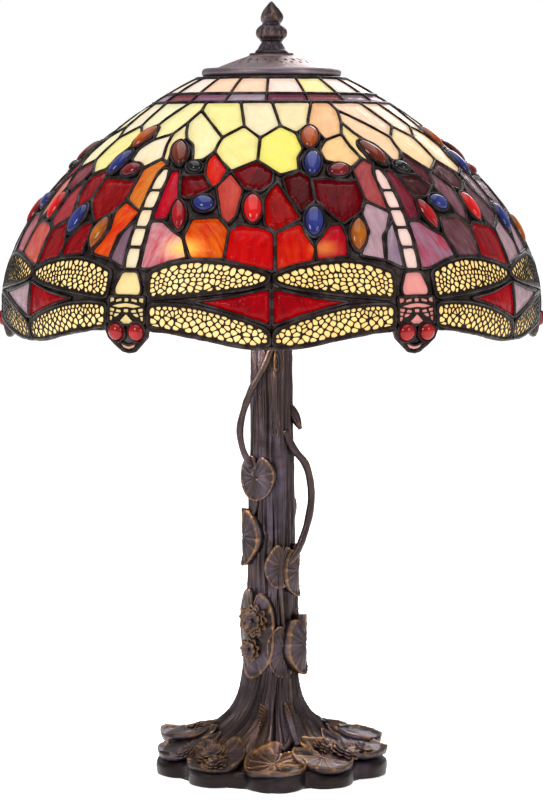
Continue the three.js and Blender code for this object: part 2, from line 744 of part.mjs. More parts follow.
// Columns that the wings, rim bead and red glass share, in degrees from the seam beside them
const wingStations = [9, 17, SECTOR / 2 - NECK_AZIMUTH, SECTOR / 2 - CHEEK_AZIMUTH, SECTOR / 2];

function wingColumns(body) {
  const seam = SECTOR / 2;
  const left = [0, ...wingStations].map((station) => body - seam + station);
  const right = [...wingStations].reverse().slice(1).map((station) => body + seam - station);
  return [...left, ...right, body + seam];
}

function redColumns(seam) {
  const edge = SECTOR / 2 - TAIL_HALF_WIDTH;
  const stations = [...wingStations.filter((station) => station < edge), edge];
  const left = [...stations].reverse().map((station) => seam - station);
  const right = stations.map((station) => seam + station);
  return [...left, seam, ...right];
}

const leads = [CREAM_START, RED_START].map(leadRing);
const beads = [];
for (let sector = 0; sector < SECTORS; sector++) {
  const seam = sector * SECTOR;
  const body = seam + SECTOR / 2;
  const next = seam + SECTOR;
  const number = sector + 1;

  // Crown and cream glass, from seam to seam
  const columns = evenColumns(seam, next, RING_SEGMENTS / SECTORS);
  const crownPane = {
    columns,
    top: level(CROWN_START),
    bottom: level(CREAM_START - leadRoom),
    inset: leadRoom,
    rows: 2,
  };
  const creamPane = {
    columns,
    top: level(CREAM_START + leadRoom),
    bottom: level(RED_START - leadRoom),
    inset: leadRoom,
    rows: 3,
  };
  add(`crown_glass_${number}`, closed(panel(crownPane)), crownGlass);
  add(`cream_glass_${number}`, closed(panel(creamPane)), creamGlass);

  // Red glass, from one dragonfly's tail to the next, centred on the seam
  const redPane = {
    columns: redColumns(seam),
    top: level(RED_START + leadRoom),
    bottom: shift(wingTop, -leadRoom),
    inset: 2 * leadRoom + GLASS_GAP,
    rows: 3,
  };
  add(`red_glass_${number}`, closed(panel(redPane)), redGlass);
  add(`diamond_glass_${number}`, closed(diamond(seam, 0, 0)), redGlass);

  // Dragonfly: wings from seam to seam, less the diamonds, with its tail running up the red glass
  const wings = {
    columns: wingColumns(body),
    top: shift(wingTop, leadRoom),
    bottom: shift(rimLine, -leadRoom),
    inset: leadRoom,
    rows: 3,
  };
  const tail = {
    columns: [body - TAIL_HALF_WIDTH, body + TAIL_HALF_WIDTH],
    top: level(RED_START + leadRoom),
    bottom: level(wingTop(body) + leadRoom + 2),
    rows: 3,
  };
  const cuts = join([seam, next].map((side) => solid(diamond(side, GLASS_GAP, 2))));
  const dragonfly = solid(panel(wings)).add(solid(panel(tail))).subtract(cuts);
  add(`dragonfly_${number}`, surfaceOf(dragonfly), wingGlass);

  // Leads: the line over the wings, both sides of the tail, and the seams between panels
  for (const side of [-1, 1]) {
    const inner = body + side * TAIL_HALF_WIDTH * 1.2;
    const outer = body + (side * SECTOR) / 2;
    const span = evenColumns(Math.min(inner, outer), Math.max(inner, outer), 1);
    const between = wingColumns(body).filter((azimuth) => azimuth > span[0] && azimuth < span[1]);
    const overWing = lapped([span[0], ...between, span[1]]);
    leads.push(leadPanel({ ...overWing, top: shift(wingTop, -halfLead), bottom: shift(wingTop, halfLead) }));
    const besideTail = body + side * TAIL_HALF_WIDTH;
    leads.push(seamLead(besideTail, RED_START, wingTop(besideTail), 3, side * leadRoom));
  }
  leads.push(seamLead(seam, CROWN_START, RED_START, 4));
  const tipTop = wingTop(seam);
  leads.push(seamLead(seam, tipTop, rimArc - DIAMOND_UP - DIAMOND_ABOVE - DIAMOND_BLUNT - GLASS_GAP, 1));

  // Rim bead, with the short seam between the lower wings' tips
  const bead = lapped(wingColumns(body));
  beads.push(leadPanel({ ...bead, top: shift(rimLine, -halfLead), bottom: shift(rimLine, halfLead) }));
  const diamondFoot = rimArc - DIAMOND_UP + DIAMOND_BELOW + DIAMOND_BLUNT + GLASS_GAP;
  beads.push(seamLead(seam, diamondFoot, rimLine(seam), 1));
}

add("shade_leading", surfaceOf(join(leads)), lead);
add("shade_rim_bead", surfaceOf(join(beads)), lead);

const crownRingTop = crownHeight;
const crownRingInner = CROWN_RADIUS - CROWN_RING_WIDTH;
const crownRing = tube(crownRingInner, CROWN_RADIUS, crownRingTop - CROWN_RING_THICKNESS, crownRingTop, 24);
add("shade_crown_ring", closed(crownRing), brass);

export default group;
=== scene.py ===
"""A table lamp: a leaded glass shade with six dragonflies on a bronze tree trunk."""
import math

import bpy
import numpy as np
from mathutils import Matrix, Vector, noise
from mathutils.geometry import delaunay_2d_cdt


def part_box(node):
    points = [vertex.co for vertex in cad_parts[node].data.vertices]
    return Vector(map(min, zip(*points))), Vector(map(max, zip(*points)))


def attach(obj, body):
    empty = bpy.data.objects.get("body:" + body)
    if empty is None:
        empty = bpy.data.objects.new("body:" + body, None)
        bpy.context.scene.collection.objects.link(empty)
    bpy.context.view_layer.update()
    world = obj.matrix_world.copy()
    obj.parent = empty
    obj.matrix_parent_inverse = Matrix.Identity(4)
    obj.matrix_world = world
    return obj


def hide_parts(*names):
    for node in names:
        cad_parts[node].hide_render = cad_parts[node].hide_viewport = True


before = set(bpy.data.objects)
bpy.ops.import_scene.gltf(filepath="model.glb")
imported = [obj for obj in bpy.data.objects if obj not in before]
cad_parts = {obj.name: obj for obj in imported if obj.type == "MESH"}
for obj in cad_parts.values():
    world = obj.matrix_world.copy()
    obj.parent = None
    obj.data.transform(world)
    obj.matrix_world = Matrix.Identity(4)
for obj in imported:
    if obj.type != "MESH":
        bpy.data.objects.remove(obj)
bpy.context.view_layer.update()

MM = 0.001
DEGREE = math.pi / 180

# ---------------------------------------------------------------- finishes


class Value:
    """A shader socket that can be used in a Python expression."""

    def __init__(self, finish, socket):
        self.finish = finish
        self.socket = socket

    def maths(self, operation, first, second):
        return self.finish.node("ShaderNodeMath", {"operation": operation}, {0: first, 1: second})

    def __add__(self, other):
        return self.maths("ADD", self, other)

    def __radd__(self, other):
        return self.maths("ADD", other, self)

    def __sub__(self, other):
        return self.maths("SUBTRACT", self, other)

    def __rsub__(self, other):
        return self.maths("SUBTRACT", other, self)

    def __mul__(self, other):
        return self.maths("MULTIPLY", self, other)

    def __rmul__(self, other):
        return self.maths("MULTIPLY", other, self)

    def __pow__(self, other):
        return self.maths("POWER", self, other)


class Finish:
    """One material, built node by node."""

    def __init__(self, name):
        self.material = bpy.data.materials.new(name)
        self.material.use_nodes = True
        self.tree = self.material.node_tree
        self.tree.nodes.clear()

    def node(self, kind, settings, sockets, out=0):
        made = self.tree.nodes.new(kind)
        for key, setting in settings.items():
            if key == "stops":
                self.set_stops(made.color_ramp, setting)
            else:
                setattr(made, key, setting)
        for key, value in sockets.items():
            if isinstance(value, Value):
                self.tree.links.new(value.socket, made.inputs[key])
            else:
                made.inputs[key].default_value = value
        return Value(self, made.outputs[out]) if made.outputs else None

    def set_stops(self, ramp, stops):
        while len(ramp.elements) < len(stops):
            ramp.elements.new(0.5)
        for element, (place, level) in zip(ramp.elements, stops):
            element.position = place
            element.color = (level, level, level, 1.0)

    def place(self):
        return self.node("ShaderNodeNewGeometry", {}, {}, "Position")

    def painted(self, name, out="Color"):
        return self.node("ShaderNodeAttribute", {"attribute_name": name}, {}, out)

    def stretch(self, vector, amounts):
        return self.node("ShaderNodeVectorMath", {"operation": "MULTIPLY"}, {0: vector, 1: amounts})

    def cloud(self, vector, scale, detail=3.0, roughness=0.55, warp=0.0):
        sockets = {"Vector": vector, "Scale": scale, "Detail": detail}
        sockets["Roughness"] = roughness
        sockets["Distortion"] = warp
        return self.node("ShaderNodeTexNoise", {}, sockets, "Fac")

    def ramp(self, value, *stops):
        return self.node("ShaderNodeValToRGB", {"stops": stops}, {"Fac": value}, "Color")

    def mix(self, amount, first, second, blend="MIX"):
        settings = {"data_type": "RGBA", "blend_type": blend}
        return self.node("ShaderNodeMix", settings, {0: amount, 6: first, 7: second}, 2)

    def shaded(self, colour, value):
        """A colour made darker or brighter by a number, plain or from a socket."""
        grey = (value, value, value, 1.0)
        if isinstance(value, Value):
            channels = {"Red": value, "Green": value, "Blue": value}
            grey = self.node("ShaderNodeCombineColor", {}, channels, "Color")
        return self.mix(1.0, colour, grey, "MULTIPLY")

    def bump(self, height, distance):
        return self.node("ShaderNodeBump", {}, {"Height": height, "Distance": distance}, "Normal")

    def surface(self, sockets):
        shader = self.node("ShaderNodeBsdfPrincipled", {}, sockets, "BSDF")
        self.node("ShaderNodeOutputMaterial", {}, {"Surface": shader})
        return self.material


def srgb(code):
    """A colour written as the six digits that a paint chart gives, in linear light."""
    parts = [int(code[i:i + 2], 16) / 255 for i in (0, 2, 4)]
    linear = [p / 12.92 if p <= 0.04045 else ((p + 0.055) / 1.055) ** 2.4 for p in parts]
    return (*linear, 1.0)


def art_glass(name, body, streaks, roughness, wave):
    """Hand-rolled sheet glass with the lamp's light coming through it."""
    finish = Finish(name)
    tint = finish.painted("tint")
    deep = finish.painted("deep")
    glow = finish.painted("glow", "Fac")
    grain = finish.painted("grain", "Vector")
    drawn = finish.stretch(grain, (0.16, 0.028, 0.1))
    wisps = finish.cloud(drawn, 1.0, 4.0, 0.6, 1.3)
    billows = finish.cloud(grain, 0.055, 2.0, 0.5, 0.6)
    amount = finish.ramp(wisps * 0.65 + billows * 0.35, (0.5 - streaks, 0.0), (0.5 + streaks, 1.0))
    colour = finish.mix(amount, tint, deep)
    cloudy = 0.78 + 0.44 * finish.cloud(grain, 0.09, 3.0, 0.5, 0.4)
    seeds = finish.cloud(grain, 0.8, 2.0)
    height = finish.cloud(finish.stretch(grain, (0.22, 0.09, 0.1)), 1.0, 2.0, 0.5, 0.5) + 0.06 * seeds
    return finish.surface({
        "Base Color": finish.shaded(colour, body),
        "Roughness": roughness + 0.08 * seeds,
        "Specular IOR Level": 0.08,
        "Coat Weight": 0.02,
        "Coat Roughness": 0.05,
        "Emission Color": finish.shaded(colour, glow * cloudy),
        "Emission Strength": 1.0,
        "Normal": finish.bump(height, wave),
    })


def solder_finish():
    """Dark patinated solder with a dull silvery crest."""
    finish = Finish("patinated_solder")
    place = finish.place()
    lumps = finish.cloud(place, 260.0, 4.0, 0.6)
    wear = finish.ramp(finish.cloud(place, 90.0, 3.0), (0.45, 0.0), (0.75, 1.0))
    dark = finish.mix(lumps, srgb("140d0c"), srgb("2a1f1e"))
    colour = finish.mix(wear * 0.3, dark, srgb("7c7270"))
    height = lumps + 0.4 * finish.cloud(place, 900.0, 2.0)
    return finish.surface({
        "Base Color": colour,
        "Metallic": 0.85,
        "Roughness": 0.24 + 0.28 * lumps,
        "Normal": finish.bump(height, 0.0006),
    })


def cabochon_finish():
    """Polished pressed glass, deeper at its rim and lighter at its centre, a painted backlight."""
    finish = Finish("polished_cabochon")
    tint = finish.painted("tint")
    deep = finish.painted("deep")
    glow = finish.painted("glow", "Fac")
    grain = finish.painted("grain", "Vector")
    swirl = finish.ramp(finish.cloud(grain, 0.16, 3.0, 0.55, 2.0), (0.35, 0.0), (0.7, 1.0))
    # Painted backlight: deep colour at the jewel's rim, tint toward its centre.
    inner = finish.painted("heart", "Fac")
    colour = finish.mix(inner * (0.55 + 0.45 * swirl), deep, tint)
    return finish.surface({
        "Base Color": finish.shaded(colour, 0.2),
        "Roughness": 0.05 + 0.03 * swirl,
        "Specular IOR Level": 0.3,
        "Coat Weight": 0.12,
        "Coat Roughness": 0.02,
        "Emission Color": finish.shaded(colour, glow),
        "Emission Strength": 1.0,
    })


def filigree_finish():
    """Thin pierced brass, blackened."""
    finish = Finish("blackened_filigree")
    place = finish.place()
    lumps = finish.cloud(place, 420.0, 3.0)
    colour = finish.mix(lumps, srgb("120c09"), srgb("261c14"))
    return finish.surface({
        "Base Color": colour,
        "Metallic": 0.8,
        "Roughness": 0.3 + 0.25 * lumps,
        "Normal": finish.bump(lumps, 0.0004),
    })


# ---------------------------------------------------------------- pieces


class Work:
    """The vertices, faces and painted values of one piece before it is made."""

    def __init__(self):
        self.points = []
        self.faces = []
        self.paint = {}
        self.count = 0

    def add(self, points, faces, **paint):
        """Adds one lump, with painted values a vertex; a colour may be one for all of it."""
        points = np.asarray(points, float)
        self.points.append(points)
        self.faces.extend([tuple(i + self.count for i in face) for face in faces])
        self.count += len(points)
        for name, value in paint.items():
            value = np.asarray(value, float)
            if name in COLOURS and value.ndim == 1:
                value = np.tile(value, (len(points), 1))
            self.paint.setdefault(name, []).append(value)

    def make(self, name, material, body, slot, *nodes):
        mesh = bpy.data.meshes.new(name)
        mesh.from_pydata(np.concatenate(self.points).tolist(), [], self.faces)
        for key, values in self.paint.items():
            values = np.concatenate(values)
            kind, field = PAINT_KINDS.get(key, ("FLOAT", "value"))
            layer = mesh.attributes.new(key, kind, "POINT")
            layer.data.foreach_set(field, np.ascontiguousarray(values, np.float32).ravel())
        mesh.materials.append(material)
        mesh.validate()
        mesh.update()
        mesh.shade_smooth()
        piece = bpy.data.objects.new(name, mesh)
        bpy.context.scene.collection.objects.link(piece)
        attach(piece, body)
        if nodes:
            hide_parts(*nodes)
        return piece


COLOURS = ("tint", "deep")
PAINT_KINDS = {
    "tint": ("FLOAT_COLOR", "color"),
    "deep": ("FLOAT_COLOR", "color"),
    "grain": ("FLOAT_VECTOR", "vector"),
}


def sharpen(piece, angle):
    """Keeps edges steeper than the angle crisp."""
    piece.data.set_sharp_from_angle(angle=angle * DEGREE)


def angles_round(sides):
    return np.linspace(0, 2 * math.pi, sides, endpoint=False)


def polar(azimuth, radius, z):
    """A point from degrees round the lamp, the front being 0, and millimetres out and up."""
    angle = azimuth * DEGREE
    return np.array((radius * math.sin(angle), -radius * math.cos(angle), z))


def strip(rows, sides, start=0, looped=False, turned=False):
    """Four-sided faces between rings of points; turned ones look the other way."""
    faces = []
    for i in range(rows if looped else rows - 1):
        a = start + i * sides
        b = start + (i + 1) % rows * sides
        for j in range(sides):
            k = (j + 1) % sides
            faces.append((a + j, b + j, b + k, a + k) if turned else (a + j, a + k, b + k, b + j))
    return faces


def ends(rows, sides, turned=False):
    """The two faces that close a strip's first and last rings."""
    first = tuple(range(sides))
    last = tuple(range((rows - 1) * sides, rows * sides))
    return [first, last[::-1]] if turned else [first[::-1], last]


def fan(ring_start, sides, apex, turned=False):
    """Triangles from a ring of points to one point."""
    around = [(ring_start + j, ring_start + (j + 1) % sides) for j in range(sides)]
    return [(b, a, apex) if turned else (a, b, apex) for a, b in around]


# ---------------------------------------------------------------- the shade's surface

CROWN_RADIUS = 56.0
CROWN_HEIGHT = 541.0
RIM_RADIUS = 203.6
RIM_HEIGHT = 339.0
CROWN_SLOPE = 19.4 * DEGREE
RIM_SLOPE = 17.8 * DEGREE
CROWN_PULL = 17.0
RIM_PULL = 109.5
GLASS = 3.0


def dome_profile():
    """Arc length, radius, height and outward normal along the shade, crown to rim."""
    start = np.array((CROWN_RADIUS, CROWN_HEIGHT))
    end = np.array((RIM_RADIUS, RIM_HEIGHT))
    after = start + CROWN_PULL * np.array((math.cos(CROWN_SLOPE), -math.sin(CROWN_SLOPE)))
    before = end + RIM_PULL * np.array((math.sin(RIM_SLOPE), math.cos(RIM_SLOPE)))
    t = np.linspace(0, 1, 1500)[:, None]
    curve = (1 - t) ** 3 * start + 3 * t * (1 - t) ** 2 * after + 3 * t * t * (1 - t) * before + t ** 3 * end
    steps = np.linalg.norm(np.diff(curve, axis=0), axis=1)
    along = np.concatenate(([0.0], np.cumsum(steps)))
    slope = np.gradient(curve, axis=0)
    slope /= np.linalg.norm(slope, axis=1)[:, None]
    return along, curve[:, 0], curve[:, 1], -slope[:, 1], slope[:, 0]


ALONG, RADII, HEIGHTS, OUT_R, OUT_Z = dome_profile()
RIM_ARC = ALONG[-1]


def radius_at(s):
    return np.interp(s, ALONG, RADII)


def on_dome(azimuth, s, out=0.0):
    """Points on the shade, from degrees round it, millimetres down it and millimetres proud."""
    angle = np.asarray(azimuth, float) * DEGREE
    s = np.asarray(s, float)
    r = np.interp(s, ALONG, RADII) + out * np.interp(s, ALONG, OUT_R)
    z = np.interp(s, ALONG, HEIGHTS) + out * np.interp(s, ALONG, OUT_Z)
    return np.stack((r * np.sin(angle), -r * np.cos(angle), z), -1) * MM


def dome_normal(azimuth, s):
    angle = np.asarray(azimuth, float) * DEGREE
    flat = np.interp(s, ALONG, OUT_R)
    return np.stack((flat * np.sin(angle), -flat * np.cos(angle), np.interp(s, ALONG, OUT_Z)), -1)


def to_flat(middle, outline):
    """Degrees and millimetres to a flat working plane in millimetres."""
    outline = np.asarray(outline, float)
    return np.stack(((outline[:, 0] - middle) * DEGREE * radius_at(outline[:, 1]), outline[:, 1]), -1)


def from_flat(middle, flat):
    flat = np.asarray(flat, float)
    return np.stack((middle + flat[:, 0] / (DEGREE * radius_at(flat[:, 1])), flat[:, 1]), -1)


def signed_area(outline):
    x, y = outline[:, 0], outline[:, 1]
    return 0.5 * float(np.sum(x * np.roll(y, -1) - y * np.roll(x, -1)))


def inset(outline, gap):
    """The outline moved inward by a gap."""
    if signed_area(outline) < 0:
        outline = outline[::-1]
    ahead = np.roll(outline, -1, axis=0) - outline
    ahead /= np.maximum(np.linalg.norm(ahead, axis=1), 1e-6)[:, None]
    inward = np.stack((-ahead[:, 1], ahead[:, 0]), -1)
    before = np.roll(inward, 1, axis=0)
    both = inward + before
    share = np.maximum(1 + np.sum(inward * before, axis=1), 0.5)
    return outline + gap * both / share[:, None]


def rounded(outline, reach=2.2, step=3.0):
    """The outline with eased corners, in even steps."""
    points = []
    for back_corner, corner, following in zip(np.roll(outline, 1, 0), outline, np.roll(outline, -1, 0)):
        back = back_corner - corner
        ahead = following - corner
        back_length = max(np.linalg.norm(back), 1e-6)
        ahead_length = max(np.linalg.norm(ahead), 1e-6)
        eased = min(reach, 0.42 * ahead_length)
        start = corner + back / back_length * min(reach, 0.42 * back_length)
        end = corner + ahead / ahead_length * eased
        for t in (0.0, 0.25, 0.5, 0.75, 1.0):
            points.append((1 - t) ** 2 * start + 2 * t * (1 - t) * corner + t * t * end)
        rest = following - ahead / ahead_length * eased - end
        pieces = int(np.linalg.norm(rest) // step)
        for j in range(1, pieces + 1):
            points.append(end + rest * j / (pieces + 1))
    return np.array(points)


def inside(points, outline):
    """Which points lie inside the outline."""
    x, y = points[:, 0][:, None], points[:, 1][:, None]
    x0, y0 = outline[:, 0][None], outline[:, 1][None]
    x1, y1 = np.roll(outline[:, 0], -1)[None], np.roll(outline[:, 1], -1)[None]
    spans = (y0 > y) != (y1 > y)
    with np.errstate(divide="ignore", invalid="ignore"):
        crossing = x < (x1 - x0) * (y - y0) / (y1 - y0) + x0
    return np.sum(spans & crossing, axis=1) % 2 == 1


def edge_distance(points, outline):
    """How far each point is from the outline."""
    start = outline[None]
    run = np.roll(outline, -1, axis=0)[None] - start
    away = points[:, None] - start
    share = np.clip(np.sum(away * run, -1) / np.maximum(np.sum(run * run, -1), 1e-9), 0, 1)
    return np.min(np.linalg.norm(away - share[..., None] * run, axis=-1), axis=1)


def filled(outline, spacing):
    """Triangles that fill an outline, with inner points every so many millimetres."""
    low, high = outline.min(0), outline.max(0)
    columns = np.arange(low[0] + spacing / 2, high[0], spacing)
    rows = np.arange(low[1] + spacing / 2, high[1], spacing)
    grid = np.array([(x, y) for y in rows for x in columns]).reshape(-1, 2)
    grid = grid[inside(grid, outline)]
    grid = grid[edge_distance(grid, outline) > 0.5 * spacing]
    points = np.concatenate((outline, grid))
    made = delaunay_2d_cdt([Vector(p) for p in points], [], [list(range(len(outline)))], 1, 1e-5)
    return np.array([tuple(v) for v in made[0]]), [tuple(face) for face in made[2]]


def slab(count, faces):
    """Top faces, looking up where the given ones look down, copies below and a wall round every open edge."""
    edges = {}
    for face in faces:
        for edge in zip(face, face[1:] + face[:1]):
            edges[edge] = True
    solid = [face[::-1] for face in faces]
    solid += [tuple(i + count for i in face) for face in faces]
    for a, b in edges:
        if (b, a) not in edges:
            solid.append((a, b, b + count, a + count))
    return solid


CUSHION_EDGE = 5.0
RIPPLE = 0.11
# Painted light: glass that glows past this level is tinted toward a warm yellow, a painted hot spot where a
# bulb shines through.
HOTSPOT_LEVEL = 0.62
BULB_HOTSPOT_COLOUR = np.array(srgb("ffc050"))


def pane(work, middle, corners, colours, seed, glow, gap=1.25, spacing=4.5, belly=0.3, high=0.0):
    """One piece of glass in its lead, cushioned a little, with its colours and grain, tinted toward a painted
    hot spot where a bulb shines through.
    """
    outline = rounded(inset(to_flat(middle, corners), gap))
    flat, faces = filled(outline, spacing)
    place = from_flat(middle, flat)
    rise = belly * np.sqrt(np.minimum(edge_distance(flat, outline) / CUSHION_EDGE, 1.0))
    ripple = np.array([noise.noise(Vector((x * RIPPLE + seed, y * RIPPLE, seed * 0.37))) for x, y in flat])
    top = on_dome(place[:, 0], place[:, 1], high - belly + rise + 0.25 * ripple)
    bottom = on_dome(place[:, 0], place[:, 1], 0.15 * ripple - GLASS)
    rng = np.random.default_rng(seed)
    turn = rng.uniform(-0.6, 0.6)
    spin = np.array(((math.cos(turn), -math.sin(turn)), (math.sin(turn), math.cos(turn))))
    grain = np.column_stack((flat @ spin.T, np.zeros(len(flat)))) + rng.uniform(-400, 400, 3)
    brightness = np.full(len(flat), glow(place[:, 0], place[:, 1]) if callable(glow) else glow)
    # Painted hot spot: above the level, tint and deep shift toward the bulb's warm colour.
    hotspot = np.tile(np.clip(brightness - HOTSPOT_LEVEL, 0, 0.85), 2)[:, None] if callable(glow) else 0.0
    work.add(
        np.concatenate((top, bottom)),
        slab(len(flat), faces),
        tint=np.array(srgb(colours[0])) * (1 - hotspot) + BULB_HOTSPOT_COLOUR * hotspot,
        deep=np.array(srgb(colours[1])) * (1 - hotspot) + BULB_HOTSPOT_COLOUR * hotspot,
        glow=np.tile(brightness, 2),
        grain=np.tile(grain, (2, 1)),
    )


LEAD_INSIDE = -4.0
RIM_INSIDE = -4.2


def bead(work, middle, outline, half_width=1.42, high=1.15, low=LEAD_INSIDE, closed=True):
    """A bead of solder along an outline on the shade, from its inner to its outer face, a little uneven."""
    sides = 10
    place = from_flat(middle, outline)
    points = on_dome(place[:, 0], place[:, 1])
    out = dome_normal(place[:, 0], place[:, 1])
    if closed:
        run = np.roll(points, -1, axis=0) - np.roll(points, 1, axis=0)
    else:
        run = np.gradient(points, axis=0)
    run /= np.maximum(np.linalg.norm(run, axis=1), 1e-9)[:, None]
    side = np.cross(run, out)
    lumps = np.array([noise.noise(Vector(p) * 170.0) for p in points])[:, None, None]
    swell = 1 + 0.22 * lumps
    angles = angles_round(sides)
    centre = (low + high) / 2
    half_height = (high - low) / 2
    across = np.cos(angles)[None, :, None] * half_width * swell
    proud = centre + np.sin(angles)[None, :, None] * half_height * (1 + 0.10 * lumps)
    rings = points[:, None] + (side[:, None] * across + out[:, None] * proud) * MM
    faces = strip(len(points), sides, looped=closed)
    if not closed:
        faces += ends(len(points), sides)
    work.add(rings.reshape(-1, 3), faces)


def line_points(middle, corners, step=2.5):
    """A run of points along corners given in degrees and millimetres, in the flat plane."""
    flat = to_flat(middle, corners)
    points = []
    for start, end in zip(flat[:-1], flat[1:]):
        count = max(1, int(np.linalg.norm(end - start) // step))
        for j in range(count):
            points.append(start + (end - start) * j / count)
    points.append(flat[-1])
    return np.array(points)


# ---------------------------------------------------------------- the shade's pattern
# Outlines lie in one sixth of the shade: degrees from its middle, then millimetres down from the crown.

CREAM_PANES = {
    "left_shoulder": ((-32, 40.5), (-14.4, 40.5), (-9.8, 72), (-16.3, 85.5), (-20.5, 74), (-30.9, 52)),
    "left_crest": ((-14.4, 40.5), (0.3, 40.5), (3.2, 71.5), (-3.7, 86), (-9.8, 72)),
    "right_crest": ((0.3, 40.5), (18.8, 40.5), (14.2, 63), (13.3, 70.5), (8.4, 80.5), (3.2, 71.5)),
    "right_shoulder": (
        (18.8, 40.5), (28, 40.5), (29.1, 52), (27, 67.5), (24.3, 81.5),
        (17.6, 88.5), (16.2, 79), (13.3, 70.5), (14.2, 63),
    ),
    "left_tongue": (
        (-30.9, 52), (-20.5, 74), (-16.3, 85.5), (-16.9, 92), (-17.2, 101.5), (-19.7, 110.5),
        (-23, 111.5), (-24.3, 100), (-25.6, 93), (-28.7, 87.5), (-30.8, 79), (-33, 67.5),
    ),
    "right_tongue": (
        (27, 67.5), (29.2, 79), (31.3, 87.5), (29.3, 93), (28.6, 103), (29.3, 114.5),
        (26.8, 109), (25, 94), (24.3, 81.5),
    ),
    "left_petal": (
        (-16.3, 85.5), (-9.8, 72), (-3.7, 86), (-3.9, 111), (-10.8, 122), (-14.3, 111.5),
        (-17.2, 101.5), (-16.9, 92),
    ),
    "middle_petal": (
        (3.2, 71.5), (8.4, 80.5), (9.7, 98), (7.6, 107.5), (7.4, 120.5), (2.4, 126),
        (-3.9, 111), (-3.7, 86),
    ),
    "right_petal": (
        (17.6, 88.5), (24.3, 81.5), (25, 94), (26.8, 109), (22.4, 118.5), (18.5, 114.2),
        (15.4, 111.5), (14.6, 99.5),
    ),
}

RED_PANES = {
    "splinter": (
        (-17.2, 101.5), (-14.3, 111.5), (-11.7, 120.5), (-13.5, 136.5), (-15, 138), (-18, 125), (-18.6, 111),
    ),
    "left_stave": ((-28.2, 121.5), (-25.4, 121.5), (-22.8, 148), (-24.3, 167.5), (-27.9, 167.5)),
    "left_brick": ((-24.4, 126.3), (-18, 125.8), (-15, 139), (-19.3, 148.3), (-22.6, 147.5)),
    "flame": (
        (-10.9, 122.5), (-6.9, 139), (-7.4, 152), (-7.9, 164), (-9.6, 171), (-11.6, 164),
        (-12.7, 151), (-14, 137.5),
    ),
    "left_diamond": ((-3.9, 111), (0.6, 123), (0.3, 134), (-2.8, 142.5), (-6.9, 139), (-10.9, 122.5)),
    "heart": ((1.6, 132.5), (3.3, 144), (6.7, 166), (0.8, 177.5), (-1.6, 171), (-2, 151), (-0.8, 141)),
    "kite": ((2.8, 129), (7.6, 121.5), (10.2, 128.5), (10.3, 151), (6.8, 160.5), (3.9, 147)),
    "right_block": (
        (10.4, 129.5), (14.5, 129.5), (20.5, 131.5), (22.6, 131), (22.7, 149), (20.8, 161),
        (16, 171), (12.5, 158.5), (10.6, 150),
    ),
    "left_foot": ((-18, 166), (-12, 164.5), (-9.2, 175), (-9.8, 198.8), (-17, 198.3), (-19.3, 181)),
    "middle_left_foot": (
        (-9.2, 175.5), (-6.9, 170.5), (-1.6, 173.5), (0.6, 178), (0.6, 208), (-4, 204.5), (-9.8, 199),
    ),
    "middle_right_foot": (
        (0.8, 177.5), (6.6, 169), (7.3, 178), (9.3, 190), (8.6, 200), (4, 203.5), (0.8, 208),
    ),
    "right_foot": ((9.2, 187), (12.8, 171.5), (15.5, 170), (16.4, 181), (16.1, 196.5), (9.2, 199.5)),
    "left_corner": (
        (-28, 168.5), (-24.8, 168.5), (-22, 176.5), (-19.4, 181.5), (-17.6, 198), (-21, 200.5),
        (-25.5, 206.5), (-28, 207),
    ),
    "right_slope": (
        (22.8, 151), (28.4, 161), (25.4, 180), (24.3, 200), (18.6, 196), (21.7, 177), (20.9, 162),
    ),
    "right_corner": ((28.2, 168), (28.2, 206.5), (24.1, 200), (24.7, 181)),
    "right_stave": ((22.4, 120), (26.8, 109.5), (30, 113.5), (28.2, 124), (28.2, 161), (22.8, 150)),
}

DIAMOND_PANES = {
    "left_half": ((-15.5, 229.8), (-8, 226), (-0.2, 219.5), (-0.2, 246.5), (-6, 239.5), (-11, 234)),
    "right_half": ((15.5, 229.8), (8, 226), (0.2, 219.5), (0.2, 246.5), (6, 239.5), (11, 234)),
}


def pairs(text):
    """Glass colours, each a main one and the one of its streaks."""
    return tuple(tuple(both.split()) for both in text.split(", "))


# Colours for the middle, right, back and left sixths in turn.
CREAM_COLOURS = {
    "left_shoulder": pairs("f7f0a6 fbe88a, fde2c8 fbc8a0, f6e9b4 f8dca0, f8efc6 f6e9b4"),
    "left_crest": pairs("f9edc4 fbe2b4, fcd0a6 fbdcc0, f9e0b0 fbeccc, fdf0dc f8e6b8"),
    "right_crest": pairs("f9dfa4 f6e8b8, fce0d0 fbcaa4, f8efc0 f6dfa0, fbf4d4 f6ecb0"),
    "right_shoulder": pairs("fccb9c f8b67c, fbd4c0 f8bfa0, fbe0b4 f8d09a, f8f2b4 fbe8a0"),
    "left_tongue": pairs("fbf3c0 fae79c, fccb9a fbdab4, f8ecb4 fbe0a4, fdf0dc fbe6bc"),
    "right_tongue": pairs("f8e4a4 fbd488, fcd9c8 fac4ac, fbe8c0 f8d8a4, f6e9b4 fbe08c"),
    "left_petal": pairs("faf0a8 fbe47c, fce0b4 fbcf94, faf0b8 fbe08c, fbf4d4 f8eaa8"),
    "middle_petal": pairs("fbe88a fdf060, fccb9a fbe0b0, fbe4a4 fbd27c, f8f2ac fbe888"),
    "right_petal": pairs("fbd79a f9c07c, fcd9c8 f9bf9c, fbe0b8 f8cc94, fdf0dc fbe0a8"),
}

